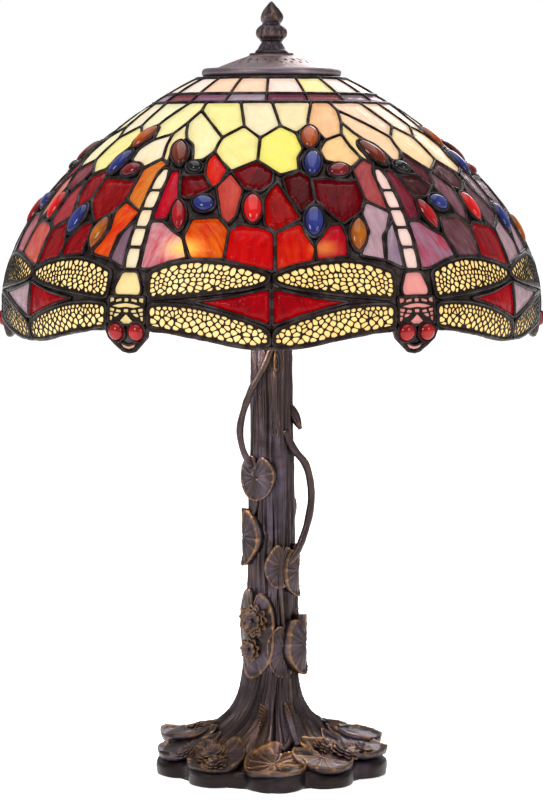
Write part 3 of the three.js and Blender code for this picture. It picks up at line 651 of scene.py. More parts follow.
RED_COLOURS = {
    "splinter": pairs("e0101c ff3a1c, 4a2428 70303a, b01420 7a0010, e8404c a01020"),
    "left_stave": pairs("e01420 c00c34, 8a2a3a 6a1a2a, a01028 d02030, d8605c b02030"),
    "left_brick": pairs("8a0008 5a0006, 5a2a2c 3a181c, 7a0610 a01020, 9a2c34 701018"),
    "flame": pairs("e85a44 c83c3c, a0707e 7a4a58, d04a44 a02830, e87868 f0a08c"),
    "left_diamond": pairs("8a0010 5c0008, 6a4044 4a2428, 80101c 580810, a04a54 7a2430"),
    "heart": pairs("c80404 8a0000, 7a5a62 5a3a44, a80810 780008, a0343c c8404c"),
    "kite": pairs("6c0008 3c0004, 7a5a62 94727c, 600810 8a1018, b01420 7a0810"),
    "right_block": pairs("7a0010 5a0008, 805060 5a3440, 6a0a14 901420, 8a0006 b01010"),
    "left_foot": pairs("e02400 ff7a18, 805a62 5a2428, c81808 e04010, c87880 a04a58"),
    "middle_left_foot": pairs("c80008 e81010, b00c14 80101c, b40810 d81018, e87868 d04a44"),
    "middle_right_foot": pairs("d40808 e83010, a8848c c4a2aa, b00c14 e02018, 7a0008 a81018"),
    "right_foot": pairs("d81020 a80c24, bc9aa8 a08090, c01424 900c1c, 7a0008 a00c14"),
    "left_corner": pairs("d8485c f0b4b8, a888a0 c04058, a83a50 c87888, a8889c 806078"),
    "right_slope": pairs("dcb4bc b890a0, b08c98 c8a8b0, a87880 7a4a58, f02010 ff6a1c"),
    "right_corner": pairs("c8acb8 a0849a, ac8c98 c4a8b0, 94707c 704a58, a07a88 806074"),
    "right_stave": pairs("c85a58 a03c44, 7a4450 5a2c38, b03c44 8a2028, f06a20 f8a040"),
}

BAND_COLOURS = pairs(
    "b48a9c c3b8c6, 8f4a62 7a3a50, 8a3f4c 9a5a60, a8667c 8d6a8a, "
    "b9a6c0 cdbfd0, 8b7078 a08890, a87888 8a5068, c0a8b8 a88098"
)
CROWN_COLOURS = pairs(
    "fde4d6 fbd8c4, fbeee0 fbe0d0, fbe08a f8ecb4, fbd5b8 fbc8a4, "
    "fbdcc4 fce8d8, fde8dc fbd6c8, f9dcc0 fbe8b8, fbe4d4 fad0bc"
)

SECTOR_LOOK = (0, 1, 2, 2, 2, 3)
SIXTH = 60.0


def middle_of(k):
    """Degrees round the lamp of the middle of one sixth of the shade."""
    return SIXTH * (k - 1)


# Where the bulbs shine through hardest: degrees round, share of the full strength, and spread.
BULB_SPOTS = ((-19.0, 1.0, 4.0), (11.0, 0.45, 3.0), (161.0, 1.0, 4.0), (191.0, 0.45, 3.0))
BULB_ARC = 190


def lamp_light(strength, spot):
    """How bright the glass is: even, and brighter in front of the two bulbs."""
    def brightness(azimuth, s):
        level = np.full(np.shape(azimuth), strength)
        for bulb, share, spread in BULB_SPOTS:
            turn = (np.asarray(azimuth) - bulb + 180) % 360 - 180
            reach = (turn / spread) ** 2 + ((np.asarray(s) - BULB_ARC) / (2 * spread)) ** 2
            level = level + spot * share * np.exp(-reach)
        return level
    return brightness


CREAM_GLASS = art_glass("cream_art_glass", 0.38, 0.22, 0.16, 0.0010)
CROWN_GLASS = art_glass("crown_art_glass", 0.42, 0.25, 0.14, 0.0008)
RED_GLASS = art_glass("red_art_glass", 0.22, 0.14, 0.12, 0.0012)
WING_GLASS = art_glass("wing_art_glass", 0.45, 0.2, 0.2, 0.0005)
SOLDER = solder_finish()
CABOCHON = cabochon_finish()
FILIGREE = filigree_finish()


def pick(choices, look, seed):
    """The colours for one pane; the back sixths shuffle between theirs and the neighbours'."""
    if look != 2:
        return choices[look]
    return choices[int(np.random.default_rng(seed).integers(0, 4))]


# Degrees from a sixth's middle to the upright leads of its crown row, and how far down the rows reach.
CROWN_LEADS = (-22.5, -2.5, 18.0, 37.5)
CROWN_TOP = 2.0
BAND_TOP = 28.0
BAND_FOOT = 40.5


def crown_panes(k, lead):
    """The straight row under the cap, and the mauve band below it."""
    middle = middle_of(k)
    work = Work()
    for i in range(3):
        left, right = middle + CROWN_LEADS[i], middle + CROWN_LEADS[i + 1]
        here = (k - 1) * 3 + i
        row = ((left, CROWN_TOP), (right, CROWN_TOP), (right, BAND_TOP), (left, BAND_TOP))
        band = ((left, BAND_TOP), (right, BAND_TOP), (right, BAND_FOOT), (left, BAND_FOOT))
        seed = 100 + here
        colours = CROWN_COLOURS[{0: 3, 1: 0, 2: 2, 17: 3}.get(here, (here * 5 + 1) % 8)]
        mauve = BAND_COLOURS[{0: 0, 1: 1, 2: 2, 3: 5, 17: 3}.get(here, (here * 3 + 2) % 8)]
        pane(work, middle, row, colours, seed, 0.62, gap=1.1)
        pane(work, middle, band, mauve, seed + 50, 0.34, gap=1.1)
        for outline in (row, band):
            bead(lead, middle, rounded(to_flat(middle, outline), 1.5), 1.15)
    work.make("crown_panes_%d" % k, CROWN_GLASS, "shade", "crown_glass", "crown_glass_%d" % k)


def cut_panes(k, family, panes, colours, glow, material, slot, lead):
    """One sixth of a family of panes, each with its bead of solder."""
    middle = middle_of(k)
    work = Work()
    for i, (label, corners) in enumerate(panes.items()):
        turned = [(a + middle, s) for a, s in corners]
        seed = 1000 * k + 31 * i + len(panes)
        pane(work, middle, turned, pick(colours[label], SECTOR_LOOK[k - 1], seed), seed, glow)
        bead(lead, middle, rounded(to_flat(middle, turned)))
    work.make("%s_panes_%d" % (family, k), material, "shade", slot, "%s_glass_%d" % (family, k))


def lead_backing(k, work):
    """The sheet of solder behind the seams, which fills the gaps between the panes."""
    columns = 31
    rows = 56
    azimuths = np.linspace(middle_of(k), middle_of(k + 1), columns)
    points = []
    for out in (-1.0, -2.2):
        for azimuth in azimuths:
            s = np.linspace(1.0, rim_arc(azimuth) - 2.0, rows)
            points.append(on_dome(np.full(rows, azimuth), s, out))
    faces = []
    for i in range(columns - 1):
        for a in range(i * rows, i * rows + rows - 1):
            faces.append((a, a + rows, a + rows + 1, a + 1))
    work.add(np.concatenate(points), slab(columns * rows, faces))


# The rim's scallop: degrees from the nearest dragonfly, then millimetres from the end of the curve.
RIM_STATIONS = ((-30, -6), (-25.5, -6.5), (-5.0, -20), (-4.2, -12), (-1.3, -2.5), (0, -1.5))


def rim_arc(azimuth):
    """Where the shade's lower edge is, for any degrees round."""
    away = abs(azimuth % SIXTH - SIXTH / 2)
    return RIM_ARC + float(np.interp(-away, *zip(*RIM_STATIONS)))


def lead_seams(k, work):
    """The rings of solder under the cap and on both sides of the band."""
    middle = middle_of(k)
    for s, width, high in ((BAND_TOP, 1.6, 1.3), (BAND_FOOT, 1.6, 1.3), (CROWN_TOP + 0.2, 1.8, 1.4)):
        places = [(middle - SIXTH / 2 + 2.5 * i, s) for i in range(25)]
        bead(work, middle, line_points(middle, places), width, high, closed=False)


# ---------------------------------------------------------------- dragonflies
# Outlines are in degrees from the dragonfly's middle and millimetres down from the crown; wings are the right
# ones, and the left ones mirror them.

UPPER_WING = (
    (4.4, 209), (6, 206.2), (10, 201), (15, 198.8), (20, 200.4), (25, 203.8), (29.4, 209.5), (29.7, 213),
    (28.6, 217.5), (25, 220.8), (20, 223.3), (15, 225.6), (10, 227.3), (4.6, 229.2),
)
LOWER_WING = (
    (4.6, 231.8), (10, 231.2), (15, 232.8), (20, 236.8), (25, 242.2), (29.2, 248.6), (29.8, 254),
    (29.8, 260.5), (27, 263.4), (22, 261), (17, 256.6), (12, 253), (8, 251.4), (4.9, 251.2),
)
EYE_APART = 2.35
EYE_ARC = 252.3
EYE_SIZE = (6.3, 6.4)
EYE_HEIGHT = 5.2
EYE_COLOURS = ("d81018", "5c0408")
TAIL_EDGES = (119.5, 141, 158, 174, 190, 207)
THORAX = ((-1.9, 208.5), (1.9, 208.5), (3.3, 221.5), (2.9, 226.5), (-2.9, 226.5), (-3.3, 221.5))
FACE_PLATE = ((-4.2, 227), (4.2, 227), (4.3, 246), (2.2, 247.5), (-2.2, 247.5), (-4.3, 246))
CHIN = ((-2.5, 259.6), (0, 262.4), (2.5, 259.6), (1.3, 265.4), (0, 267.4), (-1.3, 265.4))
FACE_HOLES = (
    ((-0.5, 228.2), (0.5, 228.2), (0.5, 230.6), (-0.5, 230.6)),
    ((1.1, 228.3), (2.5, 229.4), (2.5, 231.2), (1.1, 230.2)),
    ((2.9, 228.2), (3.9, 227.9), (3.9, 231.6), (2.9, 230.4)),
    (
        (-3.4, 234), (-1.7, 232.5), (0, 231.8), (1.7, 232.5),
        (3.4, 234), (1.7, 235.1), (0, 234.4), (-1.7, 235.1),
    ),
    ((-0.55, 236), (0.55, 236), (0.55, 238.3), (-0.55, 238.3)),
    ((1.1, 237.0), (2.2, 236.2), (2.5, 238.2), (1.3, 238.6)),
    ((2.7, 235.9), (3.9, 235.3), (3.9, 237.4), (2.9, 238.1)),
    ((1.5, 239.5), (2.7, 239.2), (3.0, 241.6), (2.2, 241.4)),
    ((3.0, 238.8), (3.9, 238.2), (3.9, 240.4), (3.2, 240.6)),
    ((3.2, 241.6), (3.9, 241.2), (3.9, 244.5), (3.4, 244.2)),
    ((-2.0, 246.4), (0, 239.6), (2.0, 246.4)),
)

DRAGONFLY_COLOURS = {
    "tail": pairs("fbe0d8 f8c8b8, fbd8c8 f8e8dc, fbe0c8 f6c8a8, fce4c8 f8d8a8, fbdcb0 f8e8c8"),
    "thorax": pairs("f0a49a e8908c, f4b8a0 f8d0b4, f6d0a0 f0b488, fae0b0 f4c898, fbe9aa fcd890"),
    "chin": pairs("e8a8a0 f0c0b4, f0b898 e8a084, f0c0a0 e8a888, f0b490 e8a080, f0b490 f4c4a4"),
    "wing": pairs("eec070 f8d890, f0c87c e6b468, f0cc80 f8dc98, f2d088 e8bc70, f4cc84 fadc98"),
}


def eased_outline(corners):
    """A wing outline as a smooth closed curve in the flat plane beside the dragonfly's middle."""
    flat = to_flat(0.0, corners)
    return rounded(flat, reach=6.0, step=2.5)


def clip_half(outline, point, outward):
    """The part of an outline on the inner side of a line."""
    kept = []
    side = (outline - point) @ outward
    for i in range(len(outline)):
        j = (i + 1) % len(outline)
        if side[i] <= 0:
            kept.append(outline[i])
        if (side[i] <= 0) != (side[j] <= 0):
            share = side[i] / (side[i] - side[j])
            kept.append(outline[i] + share * (outline[j] - outline[i]))
    return np.array(kept)


def soft_hole(cell, gap, sides=11, squareness=5.0):
    """A rounded hole inside a convex cell, the gap away from its edges."""
    middle = cell.mean(0)
    run = np.roll(cell, -1, axis=0) - cell
    length = np.linalg.norm(run, axis=1)
    keep = length > 0.05
    cell, run, length = cell[keep], run[keep], length[keep]
    if signed_area(cell) < 0:
        run = -run
    outward = np.stack((run[:, 1], -run[:, 0]), -1) / length[:, None]
    reach = np.sum((cell - middle) * outward, axis=1) - gap
    if len(reach) < 3 or reach.min() < 0.35:
        return None
    angles = angles_round(sides)
    ways = np.stack((np.cos(angles), np.sin(angles)), -1)
    leaning = np.maximum(ways @ outward.T, 0) / reach[None]
    size = np.sum(leaning ** squareness, axis=1) ** (-1 / squareness)
    return middle + ways * size[:, None]


def wing_holes(outline, top_margin, brick_rows, seed):
    """The pierced cells of one wing: small ovals along its upper edge and longer bricks below."""
    rng = np.random.default_rng(seed)
    field = inset(outline, 1.9)
    left, right = field[:, 0].min(), field[:, 0].max()
    sites = []
    columns = np.arange(left, right, 1.0)
    tops = np.array([span_at(field, x)[0] for x in columns]) + top_margin
    feet = np.array([span_at(field, x)[1] for x in columns])
    depth = 0.6
    while depth < np.max(feet - tops):
        from_foot = np.max(feet - tops) - depth
        brick = from_foot < brick_rows * 3.0 + 1.0
        pitch = 7.4 if brick else 3.9
        x = left + rng.uniform(0.3, 1.0) * pitch
        while x < right:
            top = np.interp(x, columns, tops)
            foot = np.interp(x, columns, feet)
            y = foot - from_foot if brick else top + depth
            y += rng.uniform(-0.55, 0.55) * (0.5 if brick else 1.0)
            if top + 0.4 < y < foot - 0.5:
                sites.append((x, y))
            x += pitch * rng.uniform(0.72, 1.3)
        depth += 3.05 if brick else 3.3
    sites = np.array(sites)
    sites = sites[inside(sites, field)]
    kept = []
    for p in sites:
        if all(np.hypot((p[0] - q[0]) * 0.6, p[1] - q[1]) > 1.5 for q in kept):
            kept.append(p)
    sites = np.array(kept)
    holes = []
    for p in sites:
        away = np.linalg.norm(sites - p, axis=1)
        cell = p + 6.0 * np.array(((-1, -1), (1, -1), (1, 1), (-1, 1)))
        for j in np.argsort(away)[1:18]:
            q = sites[j]
            cell = clip_half(cell, (p + q) / 2, (q - p) / away[j])
        cell = clip_to_field(cell, field, p)
        if len(cell) < 3 or abs(signed_area(cell)) < 3.0:
            continue
        hole = soft_hole(cell, 0.34)
        if hole is not None and inside(hole, field).all():
            holes.append(hole)
    return holes


def span_at(outline, x):
    """The highest and lowest crossing of an outline at one place along it."""
    x0, y0 = outline[:, 0], outline[:, 1]
    x1, y1 = np.roll(x0, -1), np.roll(y0, -1)
    hits = (x0 - x) * (x1 - x) <= 0
    hits &= np.abs(x1 - x0) > 1e-9
    if not hits.any():
        middle = float(np.mean(y0))
        return middle, middle
    y = y0[hits] + (x - x0[hits]) * (y1[hits] - y0[hits]) / (x1[hits] - x0[hits])
    return float(y.min()), float(y.max())


def clip_to_field(cell, field, site):
    """Trims a cell by the field's edges near its site."""
    run = np.roll(field, -1, axis=0) - field
    length = np.maximum(np.linalg.norm(run, axis=1), 1e-6)
    share = np.clip(np.sum((site - field) * run, 1) / length ** 2, 0, 1)
    nearest = field + share[:, None] * run
    away = np.linalg.norm(nearest - site, axis=1)
    for i in np.argsort(away)[:14]:
        if away[i] < 7.0 and len(cell) >= 3:
            outward = (nearest[i] - site) / max(away[i], 1e-6)
            cell = clip_half(cell, nearest[i], outward)
    return cell


def pierced_sheet(outline, holes):
    """Triangles of a flat sheet with holes, in the flat plane."""
    loops = [outline] + holes
    points = np.concatenate(loops)
    edges = []
    start = 0
    owner = []
    for index, loop in enumerate(loops):
        count = len(loop)
        edges += [(start + i, start + (i + 1) % count) for i in range(count)]
        owner += [index] * count
        start += count
    made = delaunay_2d_cdt([Vector(p) for p in points], edges, [], 0, 1e-5)
    flat = np.array([tuple(v) for v in made[0]])
    owners = [{owner[i] for i in sources} for sources in made[3]]
    kept = []
    for face in made[2]:
        shared = set.intersection(*(owners[i] for i in face))
        if shared and shared != {0}:
            continue
        kept.append(tuple(face))
    middles = np.array([flat[list(face)].mean(0) for face in kept])
    good = inside(middles, outline)
    return flat, [face for face, ok in zip(kept, good) if ok]


def mirror(flat):
    return flat * (-1, 1)


class WingPattern:
    """One wing's outline, glass and pierced sheet, worked out once."""

    def __init__(self, corners, top_margin, brick_rows, seed):
        self.corners = corners
        self.outline = eased_outline(corners)
        holes = wing_holes(self.outline, top_margin, brick_rows, seed)
        self.sheet = pierced_sheet(inset(self.outline, 0.4), holes)


def plate(work, middle, flat, faces, low, high):
    """A thin plate on the shade, from flat triangles."""
    place = from_flat(0.0, flat)
    top = on_dome(place[:, 0] + middle, place[:, 1], high)
    bottom = on_dome(place[:, 0] + middle, place[:, 1], low)
    work.add(np.concatenate((top, bottom)), slab(len(flat), faces))


def flipped(corners):
    return [(-a, s) for a, s in reversed(corners)]


# A jewel's rings: share of its half width, then millimetres for the two in its setting and shares of its
# height for the dome.
CABOCHON_RINGS = (
    (1.0, -3.3), (1.0, 0.2), (0.985, 0.18), (0.93, 0.38), (0.84, 0.58), (0.7, 0.76), (0.52, 0.9), (0.3, 0.97),
)


def cabochon(work, middle, azimuth, s, half_width, half_length, height, colours, seed, glow, pointed=0.0):
    """A domed jewel, round, oval or pointed at its ends."""
    sides = 28
    angles = angles_round(sides)
    squeeze = 1 - pointed * np.abs(np.sin(angles)) ** 3
    shape = np.stack((np.cos(angles) * half_width * squeeze, np.sin(angles) * half_length), -1)
    centre = to_flat(middle, [(azimuth, s)])[0]
    points = []
    heart = []
    for i, (share, rise) in enumerate(CABOCHON_RINGS):
        place = from_flat(middle, centre + shape * share)
        out = rise if i < 2 else 0.2 + height * rise
        points.append(on_dome(place[:, 0], place[:, 1], out))
        # Painted backlight: one at the jewel's centre, falling to none at its rim.
        heart.append(np.full(sides, max(0.0, 1 - share) ** 0.6))
    top = on_dome([azimuth], [s], 0.2 + height)
    bottom = on_dome([azimuth], [s], -3.5)
    apex = len(CABOCHON_RINGS) * sides
    faces = strip(len(CABOCHON_RINGS), sides) + fan(apex - sides, sides, apex)
    faces += fan(0, sides, apex + 1, turned=True)
    places = np.concatenate(points + [top, bottom])
    backlit_centres = np.concatenate(heart + [np.array((1.0, 0.3))])
    rng = np.random.default_rng(seed)
    grain = places / MM * 0.6 + rng.uniform(-300, 300, 3)
    # Painted light: the glow is a quarter stronger at the jewel's lower side and a quarter weaker at its top.
    lower = np.interp(places[:, 2], (places[:, 2].min(), places[:, 2].max()), (1.25, 0.75))
    tint, deep = (srgb(colour) for colour in colours)
    work.add(places, faces, tint=tint, deep=deep, glow=glow * lower, grain=grain, heart=backlit_centres)


def jewel_setting(lead, middle, azimuth, s, half_width, half_length, pointed=0.0):
    """The ring of solder round a jewel."""
    angles = angles_round(36)
    squeeze = 1 - pointed * np.abs(np.sin(angles)) ** 3
    across = np.cos(angles) * (half_width * squeeze + 0.85)
    along = np.sin(angles) * (half_length + 0.9)
    grown = np.stack((across, along), -1)
    centre = to_flat(middle, [(azimuth, s)])[0]
    bead(lead, middle, centre + grown, 1.3, 1.8)


# Jewels: degrees from the sixth's middle, millimetres down, half width, half length, pointedness, colour.
JEWELS = (
    (-28.3, 103, 6.9, 13.2, 0.35, "amber"),
    (-21.5, 118.5, 6.0, 5.4, 0.2, "bottle"),
    (12.6, 85, 6.6, 12.4, 0.2, "orange"),
    (11.5, 113.5, 6.3, 12.6, 0.15, "blue"),
    (18.4, 121.5, 8.2, 6.6, 0.2, "wine"),
    (-21.5, 163, 5.4, 13.2, 0.5, "red"),
    (-16.1, 153, 8.1, 6.9, 0.1, "blue"),
    (-4.3, 157, 6.6, 12.6, 0.15, "scarlet"),
    (9.5, 168, 6.9, 12.6, 0.15, "blue"),
    (19, 179, 6.2, 13.2, 0.5, "honey"),
)
JEWEL_HEIGHT = 4.2
JEWEL_COLOURS = {
    "amber": (("b83c10", "3c0e04"), 0.45),
    "orange": (("f07418", "7a2206"), 0.6),
    "honey": (("e88414", "7a3004"), 0.55),
    "bottle": (("1c2c28", "080c0c"), 0.2),
    "blue": (("4452b8", "0c1450"), 0.5),
    "wine": (("b0101c", "3c0410"), 0.6),
    "red": (("d80c18", "60040a"), 0.7),
    "scarlet": (("ff1810", "980408"), 0.85),
}


def jewels(k, lead):
    middle = middle_of(k)
    work = Work()
    for i, (azimuth, s, half_width, half_length, pointed, kind) in enumerate(JEWELS):
        colours, glow = JEWEL_COLOURS[kind]
        place = (middle + azimuth, s, half_width, half_length)
        cabochon(work, middle, *place, JEWEL_HEIGHT, colours, 77 * k + i, glow, pointed)
        jewel_setting(lead, middle, *place, pointed)
    work.make("jewels_%d" % k, CABOCHON, "shade", "cabochon_glass")


def dragonfly(k, patterns, lead):
    """Tail, wings, pierced sheets, eyes and chin of one dragonfly."""
    body = middle_of(k) + SIXTH / 2
    look = {1: 0, 6: 4}.get(k, 1 + k % 3)
    colours = {part: choices[look] for part, choices in DRAGONFLY_COLOURS.items()}
    glass = Work()
    for i, (start, end) in enumerate(zip(TAIL_EDGES[:-1], TAIL_EDGES[1:])):
        half = 1.78 - 0.06 * i
        top, bulge, foot = (half, half + 0.2, half) if i else (1.0, 1.9, 1.7)
        waist = (start + end) / 2
        corners = (
            (-top, start), (top, start), (bulge, waist), (foot, end), (-foot, end), (-bulge, waist),
        )
        turned = [(a + body, s) for a, s in corners]
        pane(glass, body, turned, colours["tail"], 500 * k + i, 0.62, gap=1.0, spacing=3.0)
        bead(lead, body, rounded(to_flat(body, turned), 2.4, 2.5), 1.38)
    thorax, chin, face = ([(a + body, s) for a, s in part] for part in (THORAX, CHIN, FACE_PLATE))
    pane(glass, body, thorax, colours["thorax"], 500 * k + 11, 0.58, gap=1.0, spacing=3.5)
    bead(lead, body, rounded(to_flat(body, thorax), 3.0, 2.5), 1.3)
    pane(glass, body, chin, colours["chin"], 500 * k + 12, 0.45, gap=0.7, spacing=2.5, high=-0.1)
    bead(lead, body, rounded(to_flat(body, chin), 1.5, 2.0), 1.25)
    pane(glass, body, face, colours["thorax"], 500 * k + 13, 0.5, gap=0.3, spacing=4.0, belly=0.2)
    glass.make("dragonfly_body_%d" % k, CREAM_GLASS, "shade", "wing_glass", "dragonfly_%d" % k)
    wings = Work()
    sheets = Work()
    for pattern in patterns:
        for side in (1, -1):
            corners = pattern.corners if side > 0 else flipped(pattern.corners)
            turned = [(a + body, s) for a, s in corners]
            seed = 500 * k + 20 + side + (5 if pattern is patterns[0] else 0)
            pane(wings, body, turned, colours["wing"], seed, 0.92, gap=1.2, spacing=5.0, belly=0.1)
            flat, faces = pattern.sheet
            plate(sheets, body, flat if side > 0 else mirror(flat), faces, -0.1, 0.6)
            outline = pattern.outline if side > 0 else mirror(pattern.outline)[::-1]
            bead(lead, body, outline, 1.3, 1.5)
    face_sheet = pierced_sheet(rounded(to_flat(0.0, FACE_PLATE), 1.0, 2.5), face_holes())
    plate(sheets, body, *face_sheet, -0.1, 0.6)
    bead(lead, body, rounded(to_flat(body, face), 1.5, 2.5), 1.2, 1.4)
    wings.make("dragonfly_wings_%d" % k, WING_GLASS, "shade", "wing_glass", "dragonfly_%d" % k)
    sheet = sheets.make("pierced_wings_%d" % k, FILIGREE, "shade", "pierced_filigree", "dragonfly_%d" % k)
    sharpen(sheet, 40.0)
    eyes = Work()
    for side in (-1, 1):
        place = (body + EYE_APART * side, EYE_ARC, *EYE_SIZE)
        cabochon(eyes, body, *place, EYE_HEIGHT, EYE_COLOURS, 900 + 7 * k + side, 0.75)
        jewel_setting(lead, body, *place)
    eyes.make("dragonfly_eyes_%d" % k, CABOCHON, "shade", "cabochon_glass", "dragonfly_%d" % k)


def face_holes():
    """The pierced holes of a dragonfly's face, mirrored where they come in pairs."""
    holes = []
    for corners in FACE_HOLES:
        flat = to_flat(0.0, corners)
        hole = rounded(flat, 0.8, 2.0)
        holes.append(hole if signed_area(hole) > 0 else hole[::-1])
        if min(corners)[0] > 0:
            twin = mirror(hole)
            holes.append(twin if signed_area(twin) > 0 else twin[::-1])
    return holes


def rim(k, lead):
    """The bead along the shade's lower edge."""
    middle = middle_of(k)
    away = np.concatenate((np.linspace(-30, -5.4, 32), np.linspace(-5.0, -4.2, 4), np.linspace(-3.9, 0, 10)))
    half = [(a, rim_arc(a + 30.0 + middle) - 1.5) for a in away]
    whole = half + [(-a, s) for a, s in reversed(half[:-1])]
    place = [(middle + 30.0 + a, s) for a, s in whole]
    bead(lead, middle + 30.0, to_flat(middle + 30.0, place), 1.9, 1.9, RIM_INSIDE, closed=False)


def diamond_colours(k):
    """Red diamonds, with mauve halves on the far sides of the front one's neighbours."""
    red = ("c00010", "8a000c")
    mauve = ("ccacb4", "a88490")
    left = mauve if k in (6, 4) else red
    right = mauve if k in (2, 3) else red
    return {"left_half": (left,) * 4, "right_half": (right,) * 4}


def shade():
    patterns = (WingPattern(UPPER_WING, 2.4, 2, 5), WingPattern(LOWER_WING, 0.4, 4, 9))
    cream = lamp_light(0.6, 0.0)
    red = lamp_light(0.55, 0.95)
    for k in range(1, 7):
        lead = Work()
        crown_panes(k, lead)
        cut_panes(k, "cream", CREAM_PANES, CREAM_COLOURS, cream, CREAM_GLASS, "cream_glass", lead)
        cut_panes(k, "red", RED_PANES, RED_COLOURS, red, RED_GLASS, "red_glass", lead)
        halves = diamond_colours(k)
        cut_panes(k, "diamond", DIAMOND_PANES, halves, red, RED_GLASS, "red_glass", lead)
        jewels(k, lead)
        dragonfly(k, patterns, lead)
        lead_backing(k, lead)
        lead_seams(k, lead)
        rim(k, lead)
        lead.make("lead_seams_%d" % k, SOLDER, "shade", "lead_came", "shade_leading", "shade_rim_bead")


shade()


# ---------------------------------------------------------------- bronze: the trunk and all that grows on it


def bronze_finish(name, gold, deep="2a2122", pale="4d4143"):
    """Dark patinated bronze, rubbed to copper and gold where it stands proud, with painted shade darkening
    its hollows.
    """
    finish = Finish(name)
    place = finish.place()
    # The painted mask: high where the bronze is worn and rubbed, low in the hollows, where it also darkens
    # the colour as painted shade.
    worn = finish.painted("worn", "Fac")
    blotches = finish.cloud(place, 38.0, 4.0, 0.6)
    grit = finish.cloud(place, 420.0, 3.0, 0.6)
    dark = finish.mix(blotches, srgb(deep), srgb(pale))
    bloom = finish.ramp(finish.cloud(place, 24.0, 3.0, 0.6, 0.8), (0.5, 0.0), (0.72, 1.0))
    dark = finish.mix(bloom * 0.6, dark, srgb("6e6478"))
    rubbed = finish.ramp(worn + 0.5 * (blotches - 0.5), (0.45, 0.0), (1.0, 1.0))
    colour = finish.mix(rubbed * gold, dark, finish.mix(grit, srgb("8f6840"), srgb("c89a60")))
    # Painted shade: where the wear mask is low, in the hollows, the colour is darkened on top of the patina.
    hollow = finish.ramp(worn, (0.0, 0.32), (0.34, 1.0))
    colour = finish.mix(1.0, colour, hollow, "MULTIPLY")
    height = grit * 0.5 + blotches
    return finish.surface({
        "Base Color": colour,
        "Metallic": 0.82,
        "Roughness": 0.30 + 0.2 * grit - 0.06 * rubbed,
        "Normal": finish.bump(height, 0.0006),
    })


BRONZE = bronze_finish("patinated_bronze", 0.8)
DARK_BRONZE = bronze_finish("dark_bronze", 0.5)
# Painted light: the cap's bronze is a lighter copy of the patina, standing in for the overhead light that
# falls on it.
PAINTED_LIT_CAP_BRONZE = bronze_finish("painted_lit_cap_bronze", 0.7, "5c4e50", "94858c")

# What every piece of the base casting is made with.
CASTING = (BRONZE, "root", "antique_bronze", "trunk_base_casting")

TRUNK_TOP = 350.0
FOOT_LINE = (
    (15.2, 350), (15.6, 300), (16.6, 240), (17.4, 180), (18.0, 120), (19.2, 88), (22.5, 62), (29.0, 46),
    (38.0, 35.5), (48.5, 26.5), (60.0, 20.4), (75.5, 16.4), (86.5, 13.2),
)
FOOT_EDGE = ((89.6, 12.6), (91.4, 11.0), (92.0, 8.0), (91.6, 4.0), (91.0, 0.7))


def smooth_line(corners, step):
    """A smooth run through corner points, in even steps."""
    corners = np.asarray(corners, float)
    ends = np.concatenate((2 * corners[:1] - corners[1:2], corners, 2 * corners[-1:] - corners[-2:-1]))
    points = []
    for i in range(1, len(ends) - 2):
        a, b, c, d = ends[i - 1:i + 3]
        count = max(1, int(round(np.linalg.norm(c - b) / step)))
        for j in range(count):
            t = j / count
            bend = 2 * a - 5 * b + 4 * c - d
            twist = 3 * b - a - 3 * c + d
            points.append(0.5 * (2 * b + (c - a) * t + bend * t * t + twist * t ** 3))
    points.append(ends[-2])
    return np.array(points)


def grain_noise(azimuth, turns, z, pitch, seed):
    """Noise that runs on round the trunk, stretched along it."""
    angle = azimuth * DEGREE
    return noise.noise(Vector((math.cos(angle) * turns + seed, math.sin(angle) * turns, z / pitch)))


# Knots in the bark: azimuth, height, half width and half height.
KNOTS = (
    (14, 322, 5.0, 12.0), (10, 268, 4.5, 9.0), (-22, 186, 5.0, 8.0),
    (-150, 290, 6.0, 11.0), (110, 250, 5.5, 9.0),
)


def knots(azimuth, z):
    """The ringed eyes in the bark: how proud, and how much wear on their rings, the mask that also leaves
    painted shade where it is low.
    """
    for middle, height, half_width, half_height in KNOTS:
        turn = (azimuth - middle + 180) % 360 - 180
        across = turn * 0.29 / half_width
        up = (z - height) / half_height
        away = math.hypot(across, up)
        if away < 1.5:
            fade = 1 - away / 1.5
            wave = math.cos(away * 13.0)
            return 1.1 * wave * fade, 0.3 * max(0.0, wave) * fade
    return 0.0, 0.0


def bark_depth(azimuth, radius, z):
    """How far the bark or the roots stand proud, and a mask of wear on the ridges that also leaves painted
    shade in the hollows.
    """
    low = max(0.0, min(1.0, (120.0 - z) / 90.0))
    fade = 1.0 - max(0.0, min(1.0, (radius - 52.0) / 20.0))
    lean = azimuth + 30.0 * low * low + 20.0 * grain_noise(azimuth, 1.3, z, 60.0, 3.0) * (0.4 + low)
    coarse = abs(grain_noise(lean, 3.2, z, 110.0, 11.0))
    fine = abs(grain_noise(lean, 8.5, z, 90.0, 29.0))
    strand = math.cos((lean * 30 + 200.0 * coarse) * DEGREE)
    crest = 1.0 - 2.6 * coarse
    comb = 1.0 - 2.6 * fine
    root = math.cos((lean * 5 + 40.0) * DEGREE)
    bulge = low * fade * (1.8 * root + 0.8 * math.cos((lean * 9 - 70.0) * DEGREE))
    bark = (1.2 + 0.8 * low) * crest + (1.1 + 0.5 * low) * comb + (0.35 + 0.5 * low) * strand
    depth = fade * bark + bulge - 0.9
    ring_depth, ring_worn = knots(azimuth, z)
    worn = 0.22 * max(0.0, crest) + 0.24 * max(0.0, comb) + 0.12 * max(0.0, strand) + ring_worn
    return depth + ring_depth, worn * fade


